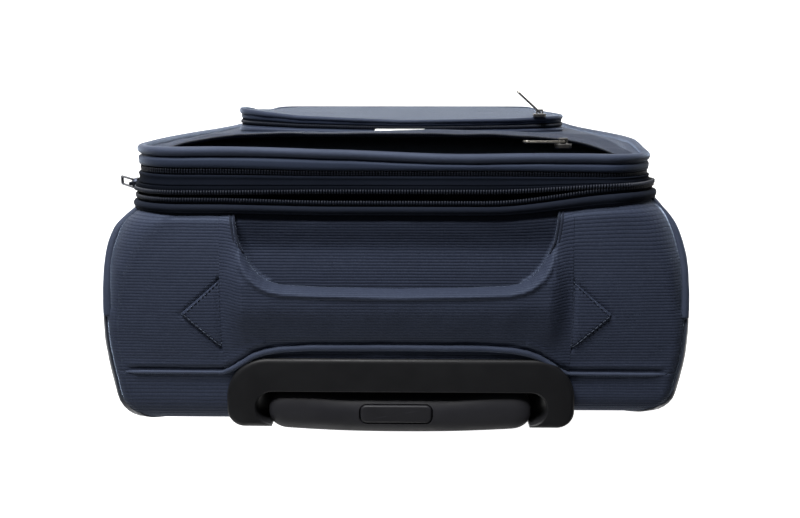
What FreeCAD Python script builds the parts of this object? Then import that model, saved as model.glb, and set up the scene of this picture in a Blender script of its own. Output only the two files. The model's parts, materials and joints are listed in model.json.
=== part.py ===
"""Softside upright suitcase: cabin size, two wheels, two-stage pull handle, expander and front pockets.

Millimetres. +Z is up and the front face looks along -Y. The origin is on the floor under the middle
of the case. "Depth" is measured forward from the flat back of the case.
"""
import FreeCAD, Part
import math
import os

V = FreeCAD.Vector
UP = V(0, 0, 1)
RIGHT = V(1, 0, 0)
FORWARD = V(0, -1, 0)

# Overall body
BACK_Y = 106.0            # Y of the flat back face
BODY_LOW = 30.0           # underside of the case above the floor
BODY_HIGH = 538.0         # top end of the case
BODY_DEPTH = 143.0        # back face to the front rim
BULGE_HALF_W = 200.5      # half width where the sides bulge most
BULGE_DEPTH = 72.0        # where that is
BACK_HALF_W = BULGE_HALF_W - 9.5      # half width at the back, before the edge is rounded
RIM_HALF_W = BULGE_HALF_W - 14.5      # half width at the front rim
BACK_ROUND = 16.0         # rounding of the back edges
EDGE_R = 10.0             # corner radius at the back, seen from the front
RIM_R = 42.0              # corner radius at the front rim
CORNER_GROWTH = 1.5       # how the corner widens towards the rim
CORNER_FACETS = 3         # the corners of the fabric panels turn in so many facets
RIM_FACETS = 6            # and those of the rim and the lid in so many

# Walls
WALL = 6.0                # fabric and foam
TOP_PAD = 14.0            # the top end is padded thicker
BOARD = 2.5               # stiffening board behind the foam
LINER = 1.0
INNER_CUT = 26.0          # cut corners inside the walls
LINER_BACK = 26.0         # the lining's back wall stands off the back panel, in front of the tubes
SEAM_HALF_W = BULGE_HALF_W - 0.5      # where the side seams would meet the square corner of the case
SEAM_IN = 40.0            # how far in the mitred seams run
BACK_WRAP = 31.0          # the back panel wraps this far over the top and bottom ends

# Rim, expander and main zip, by depth
RIM_LIP = 18.5            # how far the rim stands in from the outline
WELT_THICK = 6.0
WELT_PROUD = 1.2
ZIP_TAPE = 6.0            # rear half of the expander zip
TAPE_IN = 2.5
EXPANDER_GAP = 1.5
EXPANDER_TRAVEL = 40.0
EXPANDER_FRONT_TAPE = 4.0
RING_THICK = 7.5
RING_PROUD = 1.3          # how far the ring stands out of the lid's outline
MAIN_TAPE = 2.3
ZIP_GAP = 0.3
GUSSET_SHEET = 1.2
GUSSET_PLAY = 0.8
GUSSET_OVERLAP = 6.0      # what stays inside the rim when the case is expanded

# Lid
LID_HALF_W = RIM_HALF_W - 6.0
LID_R = 38.0
LID_GUSSET = 7.5
LID_WALL = 7.0
LID_FACE = 3.5
LID_WELT_THICK = 6.5
LID_WELT_IN = 4.0
LID_WELT_PROUD = 1.5
HINGE_R = 1.5
HINGE_PLAY = 0.4
HINGE_END = 2.0           # the roll stops short of the rim's corners
RING_TAPE_IN = 0.5        # the ring's tape stands in behind the rim's

# Front pockets and badge
POCKET_HALF_W = LID_HALF_W - 35.0
POCKET_LOW = 43.0
POCKET_DROP = 183.0       # top of the lower pocket below the top end
POCKET_ARCH = 35.0        # rise of its arched top edge
POCKET_R = 34.0
POCKET_THICK = 11.0
POCKET_PIPE = 4.0         # piping round its front edge
POCKET_PROUD = 0.8        # how far the piping and the zip stand out
POCKET_ZIP = 3.0          # width of the zip in its gusset
UPPER_HALF_W = LID_HALF_W - 30.0
UPPER_DROP = 22.0         # mouth of the upper pocket below the top end
UPPER_LENGTH = 152.0
UPPER_SHEET = 2.0
UPPER_GAPE = 9.5          # how far the mouth stands open in the middle
UPPER_TAPE = 5.0
UPPER_TAPE_THICK = 1.2
UPPER_FLAT = 1.5          # the same at the lower end
BADGE_W = 41.0
BADGE_H = 20.0
BADGE_THICK = 1.6
BADGE_DROP = 158.0

# Handle cup in the top rear edge
CUP_HALF_W = 117.5
CUP_FRONT = 43.0
CUP_PROUD = 7.0           # stands behind the back face
CUP_RISE = 5.5            # flange above the top end
CUP_FRONT_R = 27.0
CUP_BACK_R = 12.0
CUP_SKIRT = 60.0          # height of the apron on the back face
CUP_WALL = 2.5
RECESS_HALF_W = 100.0
RECESS_FRONT = 20.0
RECESS_DEEP = 42.5
RECESS_R = 14.0
RECESS_WALL = 5.0         # the recess is closed behind at its ends by a wall so thick
MOUTH_HALF_W = 90.0       # and open to the back between them

# Pull handle
TUBE_SPACING = 130.0
TUBE_DEPTH = 13.0         # tube centre in front of the back face
TUBE_PLAY = 0.4
OUTER_TUBE = (22.0, 14.0)
OUTER_TUBE_WALL = 1.0
MID_TUBE_WALL = 1.3
INNER_TUBE_WALL = 1.0
TUBE_BEVEL = 3.0          # cut corners of the outer tube
MID_BEVEL = 2.2
INNER_BEVEL = 1.5
FOOT_THICK = 8.0
TUBE_STAND = 1.5          # each tube's mouth stands so far above the last
STAGE_STEP = 12.0         # the middle tubes' lower ends above the outer tubes'
INNER_STEP = 8.0          # and the inner tubes' above those
GRIP_HALF_L = 89.0
GRIP_DEEP = 25.0
GRIP_CENTRE = 4.5
GRIP_BOW = 3.0
GRIP_HIGH = 20.0
GRIP_BASE = 7.0
GRIP_BEVEL = 4.0
GRIP_RISE = 4.0           # top of the grip above the top end
BUTTON_W = 49.6
BUTTON_DEEP = 12.7
BUTTON_GAP = 0.6
BUTTON_THICK = 7.5
BUTTON_TRAVEL = 4.0
BUTTON_DEPTH = 2.6
BUTTON_PROUD = 0.4        # its face above the grip
BUTTON_EDGE = 0.8         # cut edge round its face
BUTTON_CUT = 3.0          # cut corners seen from above
YOKE_THICK = 3.0
YOKE_PLAY = 0.8           # under the yoke when the button is pressed home
YOKE_BACK = 12.0          # the yoke's bar, from behind the tubes' centre
YOKE_FRONT = 1.8          # to in front of it
YOKE_END = 4.0            # past the tubes' centres
YOKE_POST = (16.0, 4.0)   # half size of the post under the button
CAVITY_SIDE = 4.0         # room at the yoke's ends
CAVITY_PLAY = 0.6         # and in front of it
CAVITY_BACK = 1.0         # and behind it
CAVITY_RISE = 0.5         # its roof above the foot of the button
SPRING_NEST = 2.0         # room at the spring's ends
SPRING_PLAY = 0.5
ROD_RISE = 2.0            # the rods stop so far above the lock blocks, pressed home
SPRING_HALF_L = 18.0
SPRING_SHEET = 0.6
SPRING_WIDE = 6.0
SPRING_FLOOR = 2.0        # floor of the lower shell under the spring
ROD_R = 2.0
PIN_R = 1.5
PIN_PLAY = 0.05
PIN_BITE = 0.5
PIN_TAIL = 0.8            # the pin starts so far behind the tube's centre
PIN_HOLE_TAIL = 2.2       # and its hole so far
PIN_CLEAR = 0.3           # round the pin in the tube's wall
GROOVE_DEEP = 0.8
LOCK_BLOCK = 20.0
GUIDE_LONG = 8.0
GUIDE_BEVEL = 2.4

# Wheels and feet
WHEEL_R = 31.0
WHEEL_W = 21.0
WHEEL_X = BULGE_HALF_W - 31.5
AXLE_DEPTH = 20.0
AXLE_R = 4.0
AXLE_PLAY = 0.05
BEARING_R = 8.5
HUB_R = 23.0
HUB_W = 15.0
WELL_PLAY = 3.0
WELL_SIDE = 2.0           # beside the wheel
WELL_ARCH = 0.8           # the well is open behind up to this share of the wheel's radius above the axle
HOUSING_HALF_W = 20.5
HOUSING_BACK = 8.0
HOUSING_FRONT = 60.0
HOUSING_TOP = 76.0
HOUSING_LOW = 16.0
HOUSING_TOE = 6.0
HOUSING_SLOPE = 16.0
FOOT_X = BULGE_HALF_W - 54.5
FOOT_W = 60.0
FOOT_DEEP = 24.0
FOOT_DEPTH = 126.0
FOOT_TAPER = 5.0
FOOT_R = 4.0

# Carry handles
SCOOP_DEEP = 8.0
SCOOP_FRONT_HALF = 111.0
SCOOP_BACK_HALF = 84.0
SCOOP_BACK = 54.0
SCOOP_LEDGE = 3.0         # between the scoop and the front seam
SCOOP_TURN = 2.0          # the scoop's sides turn straight so far in front of the pad
SCOOP_SWEEP = 4.0         # how far its curved sides draw in
PAD_HALF_L = 119.0
PAD_BACK = 51.0
PAD_FRONT = 91.0
PAD_LIFT = 2.0
PAD_END = 3.5
PAD_CROWN = 9.5
PAD_BEVEL = 3.0
PAD_REST = 4.0            # the pad comes down on the fabric over this much either side of the scoop's edge
CUP_GAP = 0.3             # between the pad and the cup's flange
TAB_SHIFT = 2.0           # the tabs sit so far in front of the pad's middle
TAB_ROOT = 1.0            # and start inside its end
TAB_LONG = 28.0
TAB_BASE = 48.0
TAB_THICK = 2.0
STRAP_OUT = BULGE_HALF_W + 5.8
STRAP_THICK = 3.6
STRAP_BACK = 104.0
STRAP_WIDE = 26.0
STRAP_LONG = 210.0
STRAP_END = 30.0
STRAP_SLOPE = 12.0        # over which the strap leaves the side
STRAP_Z = 285.0
CAP_PROUD = 2.6
CAP_SIDE = 3.0
CAP_LONG = 28.0
CAP_PAST = 6.0            # past the strap's end
CAP_BEVEL = 2.0

# Piping and guards
PIPE_R = 2.8
PIPE_JOINT = 0.55         # where along its run the piping bends
GUARD_THICK = 2.0
GUARD_FRONT = 78.0
GUARD_DROP = 105.0
GUARD_STRIP = 13.0
GUARD_IN = 6.0            # the guard reaches further in along the top
GUARD_BACK = 4.0          # and round the back edge
REACH = 10.0              # past the body, for cutting forms

# Zip sliders and pulls
SLIDER_LONG = 11.0
SLIDER_WIDE = 8.0
SLIDER_HIGH = 3.0
SLIDER_CLEAR = 0.3
BAIL_WIDE = 2.4           # bridge of the slider, which holds the end bar of the pull
BAIL_BAR = 1.2
BAIL_OPEN = 3.6
SLIDER_SINK = 1.5         # a slider's chain line in front of the tape's back
MAIN_UPPER_Z = STRAP_Z + 26.0
MAIN_LOWER_Z = STRAP_Z - 8.0
UPPER_SLIDER_IN = 38.0    # from the pocket's left end
UPPER_SLIDER_RISE = 8.0   # above its mouth
LOWER_SLIDER_IN = 24.0    # from the pocket's left side
LOWER_SLIDER_DROP = 20.0  # below its top
EXPANDER_PULL = 35.0      # angles at which pulls hang, degrees
LOWER_PULL = 42.0
PULL_LONG = 27.0
PULL_WIDE = 7.0
PULL_BAR = 1.6
PULL_SIDE = 1.5
PULL_TIP = 3.5
PULL_PLAY = 0.5           # round the end bar, so that its corners turn free under the bridge

# Derived depths, back to front
WELT_FRONT = BODY_DEPTH + WELT_THICK
REAR_TAPE_FRONT = WELT_FRONT + ZIP_TAPE
RING_BACK = REAR_TAPE_FRONT + EXPANDER_GAP
BAND_BACK = RING_BACK + EXPANDER_FRONT_TAPE
BAND_FRONT = BAND_BACK + RING_THICK
MAIN_REAR_FRONT = BAND_FRONT + MAIN_TAPE
LID_BACK = MAIN_REAR_FRONT + ZIP_GAP
GUSSET_BACK = LID_BACK + MAIN_TAPE
FACE_BACK = GUSSET_BACK + LID_GUSSET
LID_FRONT = FACE_BACK + LID_FACE
HINGE_DEPTH = MAIN_REAR_FRONT + ZIP_GAP / 2
HINGE_X = -(LID_HALF_W + 0.5)

OUT = "parts"


def y_at(depth):
    """Y of a point so far in front of the back face."""
    return BACK_Y - depth


def save(shape, node):
    """Write one sub-part."""
    shape.exportStep(f"{OUT}/{node}.step")


def block(x0, x1, back, front, z0, z1):
    """Box given by its X range, its depth range and its Z range."""
    return Part.makeBox(x1 - x0, front - back, z1 - z0, V(x0, y_at(front), z0))


def both_sides(make):
    """The same piece made on the left (-X) and on the right (+X)."""
    return Part.makeCompound([make(-1), make(1)])


def faceted(centre, half_u, half_v, radius, u, v, facets=1):
    """Points of a rectangle whose corners turn in a few straight facets; one facet is a cut corner."""
    points = []
    for quarter in range(4):
        su = 1 if quarter in (0, 3) else -1
        sv = 1 if quarter in (0, 1) else -1
        pivot = centre + u * (su * (half_u - radius)) + v * (sv * (half_v - radius))
        for k in range(facets + 1):
            angle = math.pi / 2 * (quarter + k / facets)
            points.append(pivot + u * (radius * math.cos(angle)) + v * (radius * math.sin(angle)))
    return points


def flat_face(points):
    """Flat face inside a ring of points."""
    return Part.Face(Part.makePolygon(points + points[:1]))


def stacked(sections):
    """Solid through rings of points with matching, parallel sides, so that every face is flat."""
    faces = [flat_face(sections[0]), flat_face(sections[-1])]
    count = len(sections[0])
    for near, far in zip(sections, sections[1:]):
        for k in range(count):
            following = (k + 1) % count
            faces.append(flat_face([near[k], near[following], far[following], far[k]]))
    solid = Part.Solid(Part.Shell(faces))
    return solid if solid.Volume > 0 else solid.reversed()


def outline(depth, half_w, low, high, radius):
    """Rounded outline seen from the front, standing at one depth."""
    centre = V(0, y_at(depth), (low + high) / 2)
    return faceted(centre, half_w, (high - low) / 2, radius, RIGHT, UP, RIM_FACETS)


def plate(back, front, inset, half_w=RIM_HALF_W, radius=RIM_R, low=BODY_LOW, high=BODY_HIGH):
    """Solid with the rim's outline drawn in by an inset, between two depths."""
    ring = outline(front, half_w - inset, low + inset, high - inset, radius - inset)
    return flat_face(ring).extrude(V(0, front - back, 0))


def band(back, front, inset_out, inset_in, **size):
    """Ring between two insets of the same outline."""
    return plate(back, front, inset_out, **size).cut(plate(back, front, inset_in, **size))


def side_half_width(depth):
    """Half width of the bulging body at a depth."""
    if depth > BULGE_DEPTH:
        share = (depth - BULGE_DEPTH) / (BODY_DEPTH - BULGE_DEPTH)
        return BULGE_HALF_W - (BULGE_HALF_W - RIM_HALF_W) * share**2
    share = (BULGE_DEPTH - depth) / BULGE_DEPTH
    return BULGE_HALF_W - (BULGE_HALF_W - BACK_HALF_W) * share**2


def back_inset(depth):
    """How far the rounded back edge draws the outline in at a depth."""
    if depth >= BACK_ROUND:
        return 0.0
    return BACK_ROUND - math.sqrt(BACK_ROUND**2 - (BACK_ROUND - depth)**2)


def corner_radius(depth):
    """Corner radius seen from the front: tight at the back, wide at the rim."""
    share = max(0.0, (depth - BACK_WRAP) / (BODY_DEPTH - BACK_WRAP))
    return EDGE_R + (RIM_R - EDGE_R) * share**CORNER_GROWTH


def body_form(inset):
    """The closed form of the case body, drawn in all round by an inset."""
    depths = [BACK_ROUND * (1 - math.cos(math.radians(a))) for a in (0, 45, 90)]
    depths += [BULGE_DEPTH, (BULGE_DEPTH + BODY_DEPTH) / 2, BODY_DEPTH]
    sections = []
    for depth in depths:
        shrink = inset + back_inset(depth)
        place = inset + depth * (BODY_DEPTH - inset) / BODY_DEPTH
        radius = max(corner_radius(depth) - inset, EDGE_R / 3)
        half_w = side_half_width(depth) - shrink
        half_h = (BODY_HIGH - BODY_LOW) / 2 - shrink
        centre = V(0, y_at(place), (BODY_LOW + BODY_HIGH) / 2)
        sections.append(faceted(centre, half_w, half_h, radius, RIGHT, UP, CORNER_FACETS))
    return stacked(sections)


def inner_form(inset, back):
    """Straight inside of the walls with cut corners, drawn in by an inset, from a back wall to the rim."""
    high = BODY_HIGH - TOP_PAD + WALL - inset
    low = BODY_LOW + inset
    centre = V(0, y_at(BODY_DEPTH), (low + high) / 2)
    ring = faceted(centre, RIM_HALF_W - inset, (high - low) / 2, INNER_CUT - inset / 2, RIGHT, UP)
    return flat_face(ring).extrude(V(0, BODY_DEPTH - back, 0))


def side_zone(side):
    """Wedge that holds one side panel: its faces are the mitred seams."""
    out = SEAM_IN / 2
    rings = []
    for step in (-out, SEAM_IN):
        x = side * (SEAM_HALF_W - step)
        back = y_at(step)
        front = y_at(BODY_DEPTH + 1)
        low = BODY_LOW + step
        high = BODY_HIGH - step
        rings.append([V(x, back, low), V(x, back, high), V(x, front, high), V(x, front, low)])
    return stacked(rings)


def housing_form(side):
    """Outer form of a wheel housing, seen from the side as an arch with a cut upper corner."""
    x0 = side * WHEEL_X - HOUSING_HALF_W
    points = [
        (-HOUSING_BACK, HOUSING_LOW + HOUSING_TOE), (-HOUSING_BACK, HOUSING_TOP - HOUSING_BACK),
        (0, HOUSING_TOP), (HOUSING_FRONT, HOUSING_TOP), (HOUSING_FRONT, BODY_LOW),
        (HOUSING_FRONT - HOUSING_SLOPE, HOUSING_LOW), (0, HOUSING_LOW),
    ]
    corners = [V(x0, y_at(d), z) for d, z in points]
    face = flat_face(corners)
    form = face.extrude(V(2 * HOUSING_HALF_W, 0, 0))
    outer = [e for e in form.Edges if is_upright(e) and e.BoundBox.YMin > y_at(-HOUSING_BACK / 2)]
    return form.makeChamfer(HOUSING_BACK / 2, outer)


def is_upright(edge):
    """True for a straight edge along Z."""
    box = edge.BoundBox
    return box.XLength < 1e-6 and box.YLength < 1e-6 and box.ZLength > 1


def cup_plan(low, high, grow=0.0):
    """Solid on the handle cup's outline seen from above, between two heights."""
    half = CUP_HALF_W + grow
    form = block(-half, half, -CUP_PROUD - grow, CUP_FRONT + grow, low, high)
    front = [e for e in form.Edges if is_upright(e) and e.BoundBox.YMin < y_at(CUP_FRONT / 2)]
    form = form.makeFillet(CUP_FRONT_R, front)
    rear = [e for e in form.Edges if is_upright(e) and e.BoundBox.YMin > y_at(0)]
    return form.makeFillet(CUP_BACK_R, rear)


def cup_socket():
    """Space that the cup takes out of the back panel."""
    return block(-CUP_HALF_W, CUP_HALF_W, -CUP_PROUD, RECESS_FRONT + CUP_WALL,
                 BODY_HIGH - CUP_SKIRT, BODY_HIGH)


def scoop():
    """Recess in the top end in front of and under the carry handle."""
    z = BODY_HIGH - SCOOP_DEEP
    front = BODY_DEPTH - SCOOP_LEDGE
    turn = PAD_FRONT + SCOOP_TURN
    middle = (SCOOP_FRONT_HALF + SCOOP_BACK_HALF) / 2 - SCOOP_SWEEP
    left = [V(-SCOOP_FRONT_HALF, y_at(front), z), V(-middle, y_at((front + turn) / 2), z),
            V(-SCOOP_BACK_HALF, y_at(turn), z)]
    right = [V(-p.x, p.y, p.z) for p in reversed(left)]
    back_left = V(-SCOOP_BACK_HALF, y_at(SCOOP_BACK), z)
    back_right = V(SCOOP_BACK_HALF, y_at(SCOOP_BACK), z)
    edges = [
        Part.Arc(*left), Part.LineSegment(left[2], back_left), Part.LineSegment(back_left, back_right),
        Part.LineSegment(back_right, right[0]), Part.Arc(*right), Part.LineSegment(right[2], left[0]),
    ]
    face = Part.Face(Part.Wire([e.toShape() for e in edges]))
    return face.extrude(V(0, 0, SCOOP_DEEP * 2))


def make_panels(case_form, housings):
    """Top, bottom, back and two side panels, split along the seams."""
    shell = case_form.cut(inner_form(WALL, WALL)).cut(housings).cut(cup_socket())
    sides = {"left_panel": side_zone(-1), "right_panel": side_zone(1)}
    for node, zone in sides.items():
        save(shell.common(zone), node)
    rest = shell.cut(Part.makeCompound(list(sides.values())))
    wide = BULGE_HALF_W + 1
    middle = (BODY_LOW + BODY_HIGH) / 2
    save(rest.common(block(-wide, wide, -1, BACK_WRAP, 0, BODY_HIGH + 1)), "back_panel")
    ends = rest.common(block(-wide, wide, BACK_WRAP, BODY_DEPTH + 1, 0, BODY_HIGH + 1))
    save(ends.common(block(-wide, wide, 0, BODY_DEPTH + 1, 0, middle)), "bottom_panel")
    top = ends.common(block(-wide, wide, 0, BODY_DEPTH + 1, middle, BODY_HIGH + 1))
    save(top.cut(scoop()), "top_panel")


def make_inner_skins(housings):
    """Stiffening board round the four sides, and the lining inside it."""
    board_back = LINER_BACK + LINER
    board = inner_form(WALL, board_back).cut(inner_form(WALL + BOARD, 0)).cut(housings)
    save(board, "frame_board")
    step = WALL + BOARD
    lining = inner_form(step, LINER_BACK).cut(inner_form(step + LINER, board_back)).cut(housings)
    save(lining, "lining")


def make_rim():
    """Welt round the front rim and the rear half of the expander zip."""
    save(band(BODY_DEPTH, WELT_FRONT, -WELT_PROUD, RIM_LIP), "front_welt")
    save(band(WELT_FRONT, REAR_TAPE_FRONT, TAPE_IN, RIM_LIP), "expander_zip_rear")


def hinge_roll(radius):
    """Fabric roll of the lid hinge, up the left side."""
    low = BODY_LOW + RIM_R + HINGE_END
    high = BODY_HIGH - RIM_R - HINGE_END
    return Part.makeCylinder(radius, high - low, V(HINGE_X, y_at(HINGE_DEPTH), low))


def make_ring():
    """Ring between the two zips, with the expander gusset that slides out of the rim."""
    lid_inset = RIM_HALF_W - LID_HALF_W
    gusset_out = RIM_LIP + GUSSET_PLAY
    gusset_in = gusset_out + GUSSET_SHEET
    gusset_back = REAR_TAPE_FRONT - GUSSET_OVERLAP - EXPANDER_TRAVEL
    save(band(gusset_back, BAND_BACK, gusset_out, gusset_in), "expander_gusset")
    save(band(RING_BACK, BAND_BACK, TAPE_IN + RING_TAPE_IN, gusset_out), "expander_zip_front")
    rear = band(BAND_FRONT, MAIN_REAR_FRONT, lid_inset, gusset_in)
    save(rear.cut(hinge_roll(HINGE_R)), "main_zip_rear")
    ring = band(BAND_BACK, BAND_FRONT, lid_inset - RING_PROUD, gusset_in)
    save(ring, "ring_band")
    save(hinge_roll(HINGE_R).cut(ring), "lid_hinge_roll")


def lid_size():
    """The lid's outline as keywords for plate and band."""
    shrink = RIM_HALF_W - LID_HALF_W
    return {"half_w": LID_HALF_W, "radius": LID_R, "low": BODY_LOW + shrink, "high": BODY_HIGH - shrink}


def make_lid():
    """Lid pan, its welt and the front half of the main zip."""
    size = lid_size()
    clear = hinge_roll(HINGE_R + HINGE_PLAY)
    tape = band(LID_BACK, GUSSET_BACK, 0, RIM_LIP / 2, **size)
    save(tape.cut(clear), "main_zip_front")
    pan = plate(GUSSET_BACK, FACE_BACK, 0, **size)
    pan = pan.cut(plate(GUSSET_BACK, FACE_BACK, LID_WALL, **size))
    pan = pan.fuse(plate(FACE_BACK, LID_FRONT, LID_WELT_IN, **size)).removeSplitter()
    save(pan.cut(clear), "lid_shell")
    welt = band(FACE_BACK, FACE_BACK + LID_WELT_THICK, -LID_WELT_PROUD, LID_WELT_IN, **size)
    save(welt, "lid_welt")


def pocket_form(back, front, inset):
    """Lower pocket's outline with its arched top edge, between two depths."""
    half = POCKET_HALF_W - inset
    low = POCKET_LOW + inset
    shoulder = BODY_HIGH - POCKET_DROP - POCKET_ARCH - inset
    crest = BODY_HIGH - POCKET_DROP - inset
    y = y_at(front)
    edges = [
        Part.Arc(V(-half, y, shoulder), V(0, y, crest), V(half, y, shoulder)),
        Part.LineSegment(V(half, y, shoulder), V(half, y, low)),
        Part.LineSegment(V(half, y, low), V(-half, y, low)),
        Part.LineSegment(V(-half, y, low), V(-half, y, shoulder)),
    ]
    form = Part.Face(Part.Wire([e.toShape() for e in edges])).extrude(V(0, front - back, 0))
    deep = [e for e in form.Edges if e.BoundBox.XLength < 1e-6 and e.BoundBox.ZLength < 1e-6]
    return form.makeFillet(POCKET_R - inset, deep)


def make_lower_pocket():
    """Lower front pocket with piping round its front edge and a zip in its gusset."""
    front = LID_FRONT + POCKET_THICK
    piping = pocket_form(front - POCKET_PIPE / 2, front + POCKET_PIPE / 2, -POCKET_PROUD)
    save(pocket_form(LID_FRONT, front, 0).fuse(piping).removeSplitter(), "lower_pocket")
    zip_back = LID_FRONT + POCKET_ZIP
    zip_front = zip_back + POCKET_ZIP
    zip_band = pocket_form(zip_back, zip_front, -POCKET_PROUD).cut(pocket_form(zip_back, zip_front, 0))
    save(zip_band, "lower_pocket_zip")


def bow(z, half_w, back, rise, sheet):
    """Bowed strip seen from above: an outer and an inner curve that meet at the ends."""
    steps = 8
    outer = []
    inner = []
    for k in range(steps + 1):
        share = 2.0 * k / steps - 1
        lift = 1 - share**2
        outer.append(V(share * half_w, y_at(back + (rise + sheet) * lift), z))
        inner.append(V(share * (half_w - 2 * sheet), y_at(back + rise * lift), z))
    points = outer + inner[::-1]
    return Part.makePolygon(points + points[:1])


def upper_panel_form(sheet):
    """Gaping front panel of the upper pocket, flat at its lower end."""
    top = BODY_HIGH - UPPER_DROP
    wires = [bow(top, UPPER_HALF_W, LID_FRONT, UPPER_GAPE, sheet),
             bow(top - UPPER_LENGTH, UPPER_HALF_W, LID_FRONT, UPPER_FLAT, sheet)]
    return Part.makeLoft(wires, True, True)


def make_upper_pocket():
    """Gaping upper pocket panel, both halves of its zip, and the plain badge plate."""
    top = BODY_HIGH - UPPER_DROP
    tape = UPPER_TAPE
    save(upper_panel_form(UPPER_SHEET), "upper_pocket_panel")
    lip = Part.Face(bow(top, UPPER_HALF_W, LID_FRONT, UPPER_GAPE, UPPER_SHEET)).extrude(V(0, 0, tape / 2))
    half = UPPER_HALF_W - 2 * tape
    lid_side = block(-half, half, LID_FRONT, LID_FRONT + UPPER_TAPE_THICK, top + tape, top + 2 * tape)
    save(Part.makeCompound([lip, lid_side]), "upper_pocket_zip")
    middle = BODY_HIGH - BADGE_DROP
    gape = UPPER_GAPE * (UPPER_DROP + UPPER_LENGTH - BADGE_DROP) / UPPER_LENGTH
    reach = LID_FRONT + UPPER_FLAT + UPPER_SHEET + gape
    form = block(-BADGE_W / 2, BADGE_W / 2, LID_FRONT + UPPER_SHEET, reach + BADGE_THICK / 2,
                 middle - BADGE_H / 2, middle + BADGE_H / 2)
    form = form.cut(upper_panel_form(UPPER_SHEET)).cut(upper_panel_form(0.01))
    plates = [s for s in form.Solids if s.BoundBox.YMin < y_at(reach)]
    save(plates[0], "badge_plate")


def bevelled_bar(size, cut, x, depth, z0, z1):
    """Upright bar of a rectangular section with cut corners."""
    wide, deep = size
    ring = faceted(V(x, y_at(depth), z0), wide / 2, deep / 2, cut, RIGHT, FORWARD)
    return flat_face(ring).extrude(V(0, 0, z1 - z0))


def shrunk(size, by):
    """A section drawn in on all sides."""
    return (size[0] - 2 * by, size[1] - 2 * by)


def bore_bevel(bevel, wall):
    """Cut corner inside a tube whose cut-off corner is as thick as its walls."""
    return bevel - wall * (2 - math.sqrt(2))


def tube(size, wall, radius, x, z0, z1):
    """Hollow upright tube at the pull handle's depth."""
    outer = bevelled_bar(size, radius, x, TUBE_DEPTH, z0, z1)
    return outer.cut(bevelled_bar(shrunk(size, wall), bore_bevel(radius, wall), x, TUBE_DEPTH, z0, z1))


MID_TUBE = shrunk(OUTER_TUBE, OUTER_TUBE_WALL + TUBE_PLAY)
INNER_TUBE = shrunk(MID_TUBE, MID_TUBE_WALL + TUBE_PLAY)
INNER_BORE = shrunk(INNER_TUBE, INNER_TUBE_WALL)
RECESS_FLOOR = BODY_HIGH - RECESS_DEEP
FOOT_Z = BODY_LOW + WALL + BOARD
OUTER_Z = (FOOT_Z + FOOT_THICK, RECESS_FLOOR + TUBE_STAND)
MID_Z = (OUTER_Z[0] + STAGE_STEP, OUTER_Z[1] + TUBE_STAND)
GRIP_TOP = BODY_HIGH + GRIP_RISE
GRIP_SPLIT = GRIP_TOP - GRIP_HIGH
GRIP_LOW = GRIP_SPLIT - GRIP_BASE
INNER_Z = (MID_Z[0] + INNER_STEP, GRIP_SPLIT)
BLOCK_Z = (INNER_Z[0], INNER_Z[0] + LOCK_BLOCK)
PIN_Z = INNER_Z[0] + LOCK_BLOCK / 2


def make_handle_cup():
    """Moulded cup in the top rear edge: flange, apron and a recess that is open to the back."""
    flange = cup_plan(BODY_HIGH, BODY_HIGH + CUP_RISE)
    rim = [e for e in flange.Edges if abs(e.BoundBox.ZMin - BODY_HIGH - CUP_RISE) < 1e-6]
    flange = flange.makeChamfer(CUP_RISE * 0.4, rim)
    skirt = cup_plan(BODY_HIGH - CUP_SKIRT, BODY_HIGH)
    skirt = skirt.common(cup_socket())
    form = flange.fuse(skirt).removeSplitter()
    rear = RECESS_WALL - CUP_PROUD
    recess = block(-RECESS_HALF_W, RECESS_HALF_W, rear, RECESS_FRONT, RECESS_FLOOR, 2 * BODY_HIGH)
    front = [e for e in recess.Edges if is_upright(e) and e.BoundBox.YMin < y_at(rear)]
    form = form.cut(recess.makeFillet(RECESS_R, front))
    form = form.cut(block(-MOUTH_HALF_W, MOUTH_HALF_W, -2 * CUP_PROUD, 0, RECESS_FLOOR, 2 * BODY_HIGH))
    under = block(-CUP_HALF_W + CUP_WALL, CUP_HALF_W - CUP_WALL, 0, RECESS_FRONT + CUP_WALL,
                  0, RECESS_FLOOR - CUP_WALL)
    form = form.cut(under)
    for side in (-1, 1):
        x = side * TUBE_SPACING / 2
        form = form.cut(bevelled_bar(OUTER_TUBE, TUBE_BEVEL, x, TUBE_DEPTH, 0, RECESS_FLOOR + FOOT_THICK))
    save(form, "handle_cup")


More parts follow.
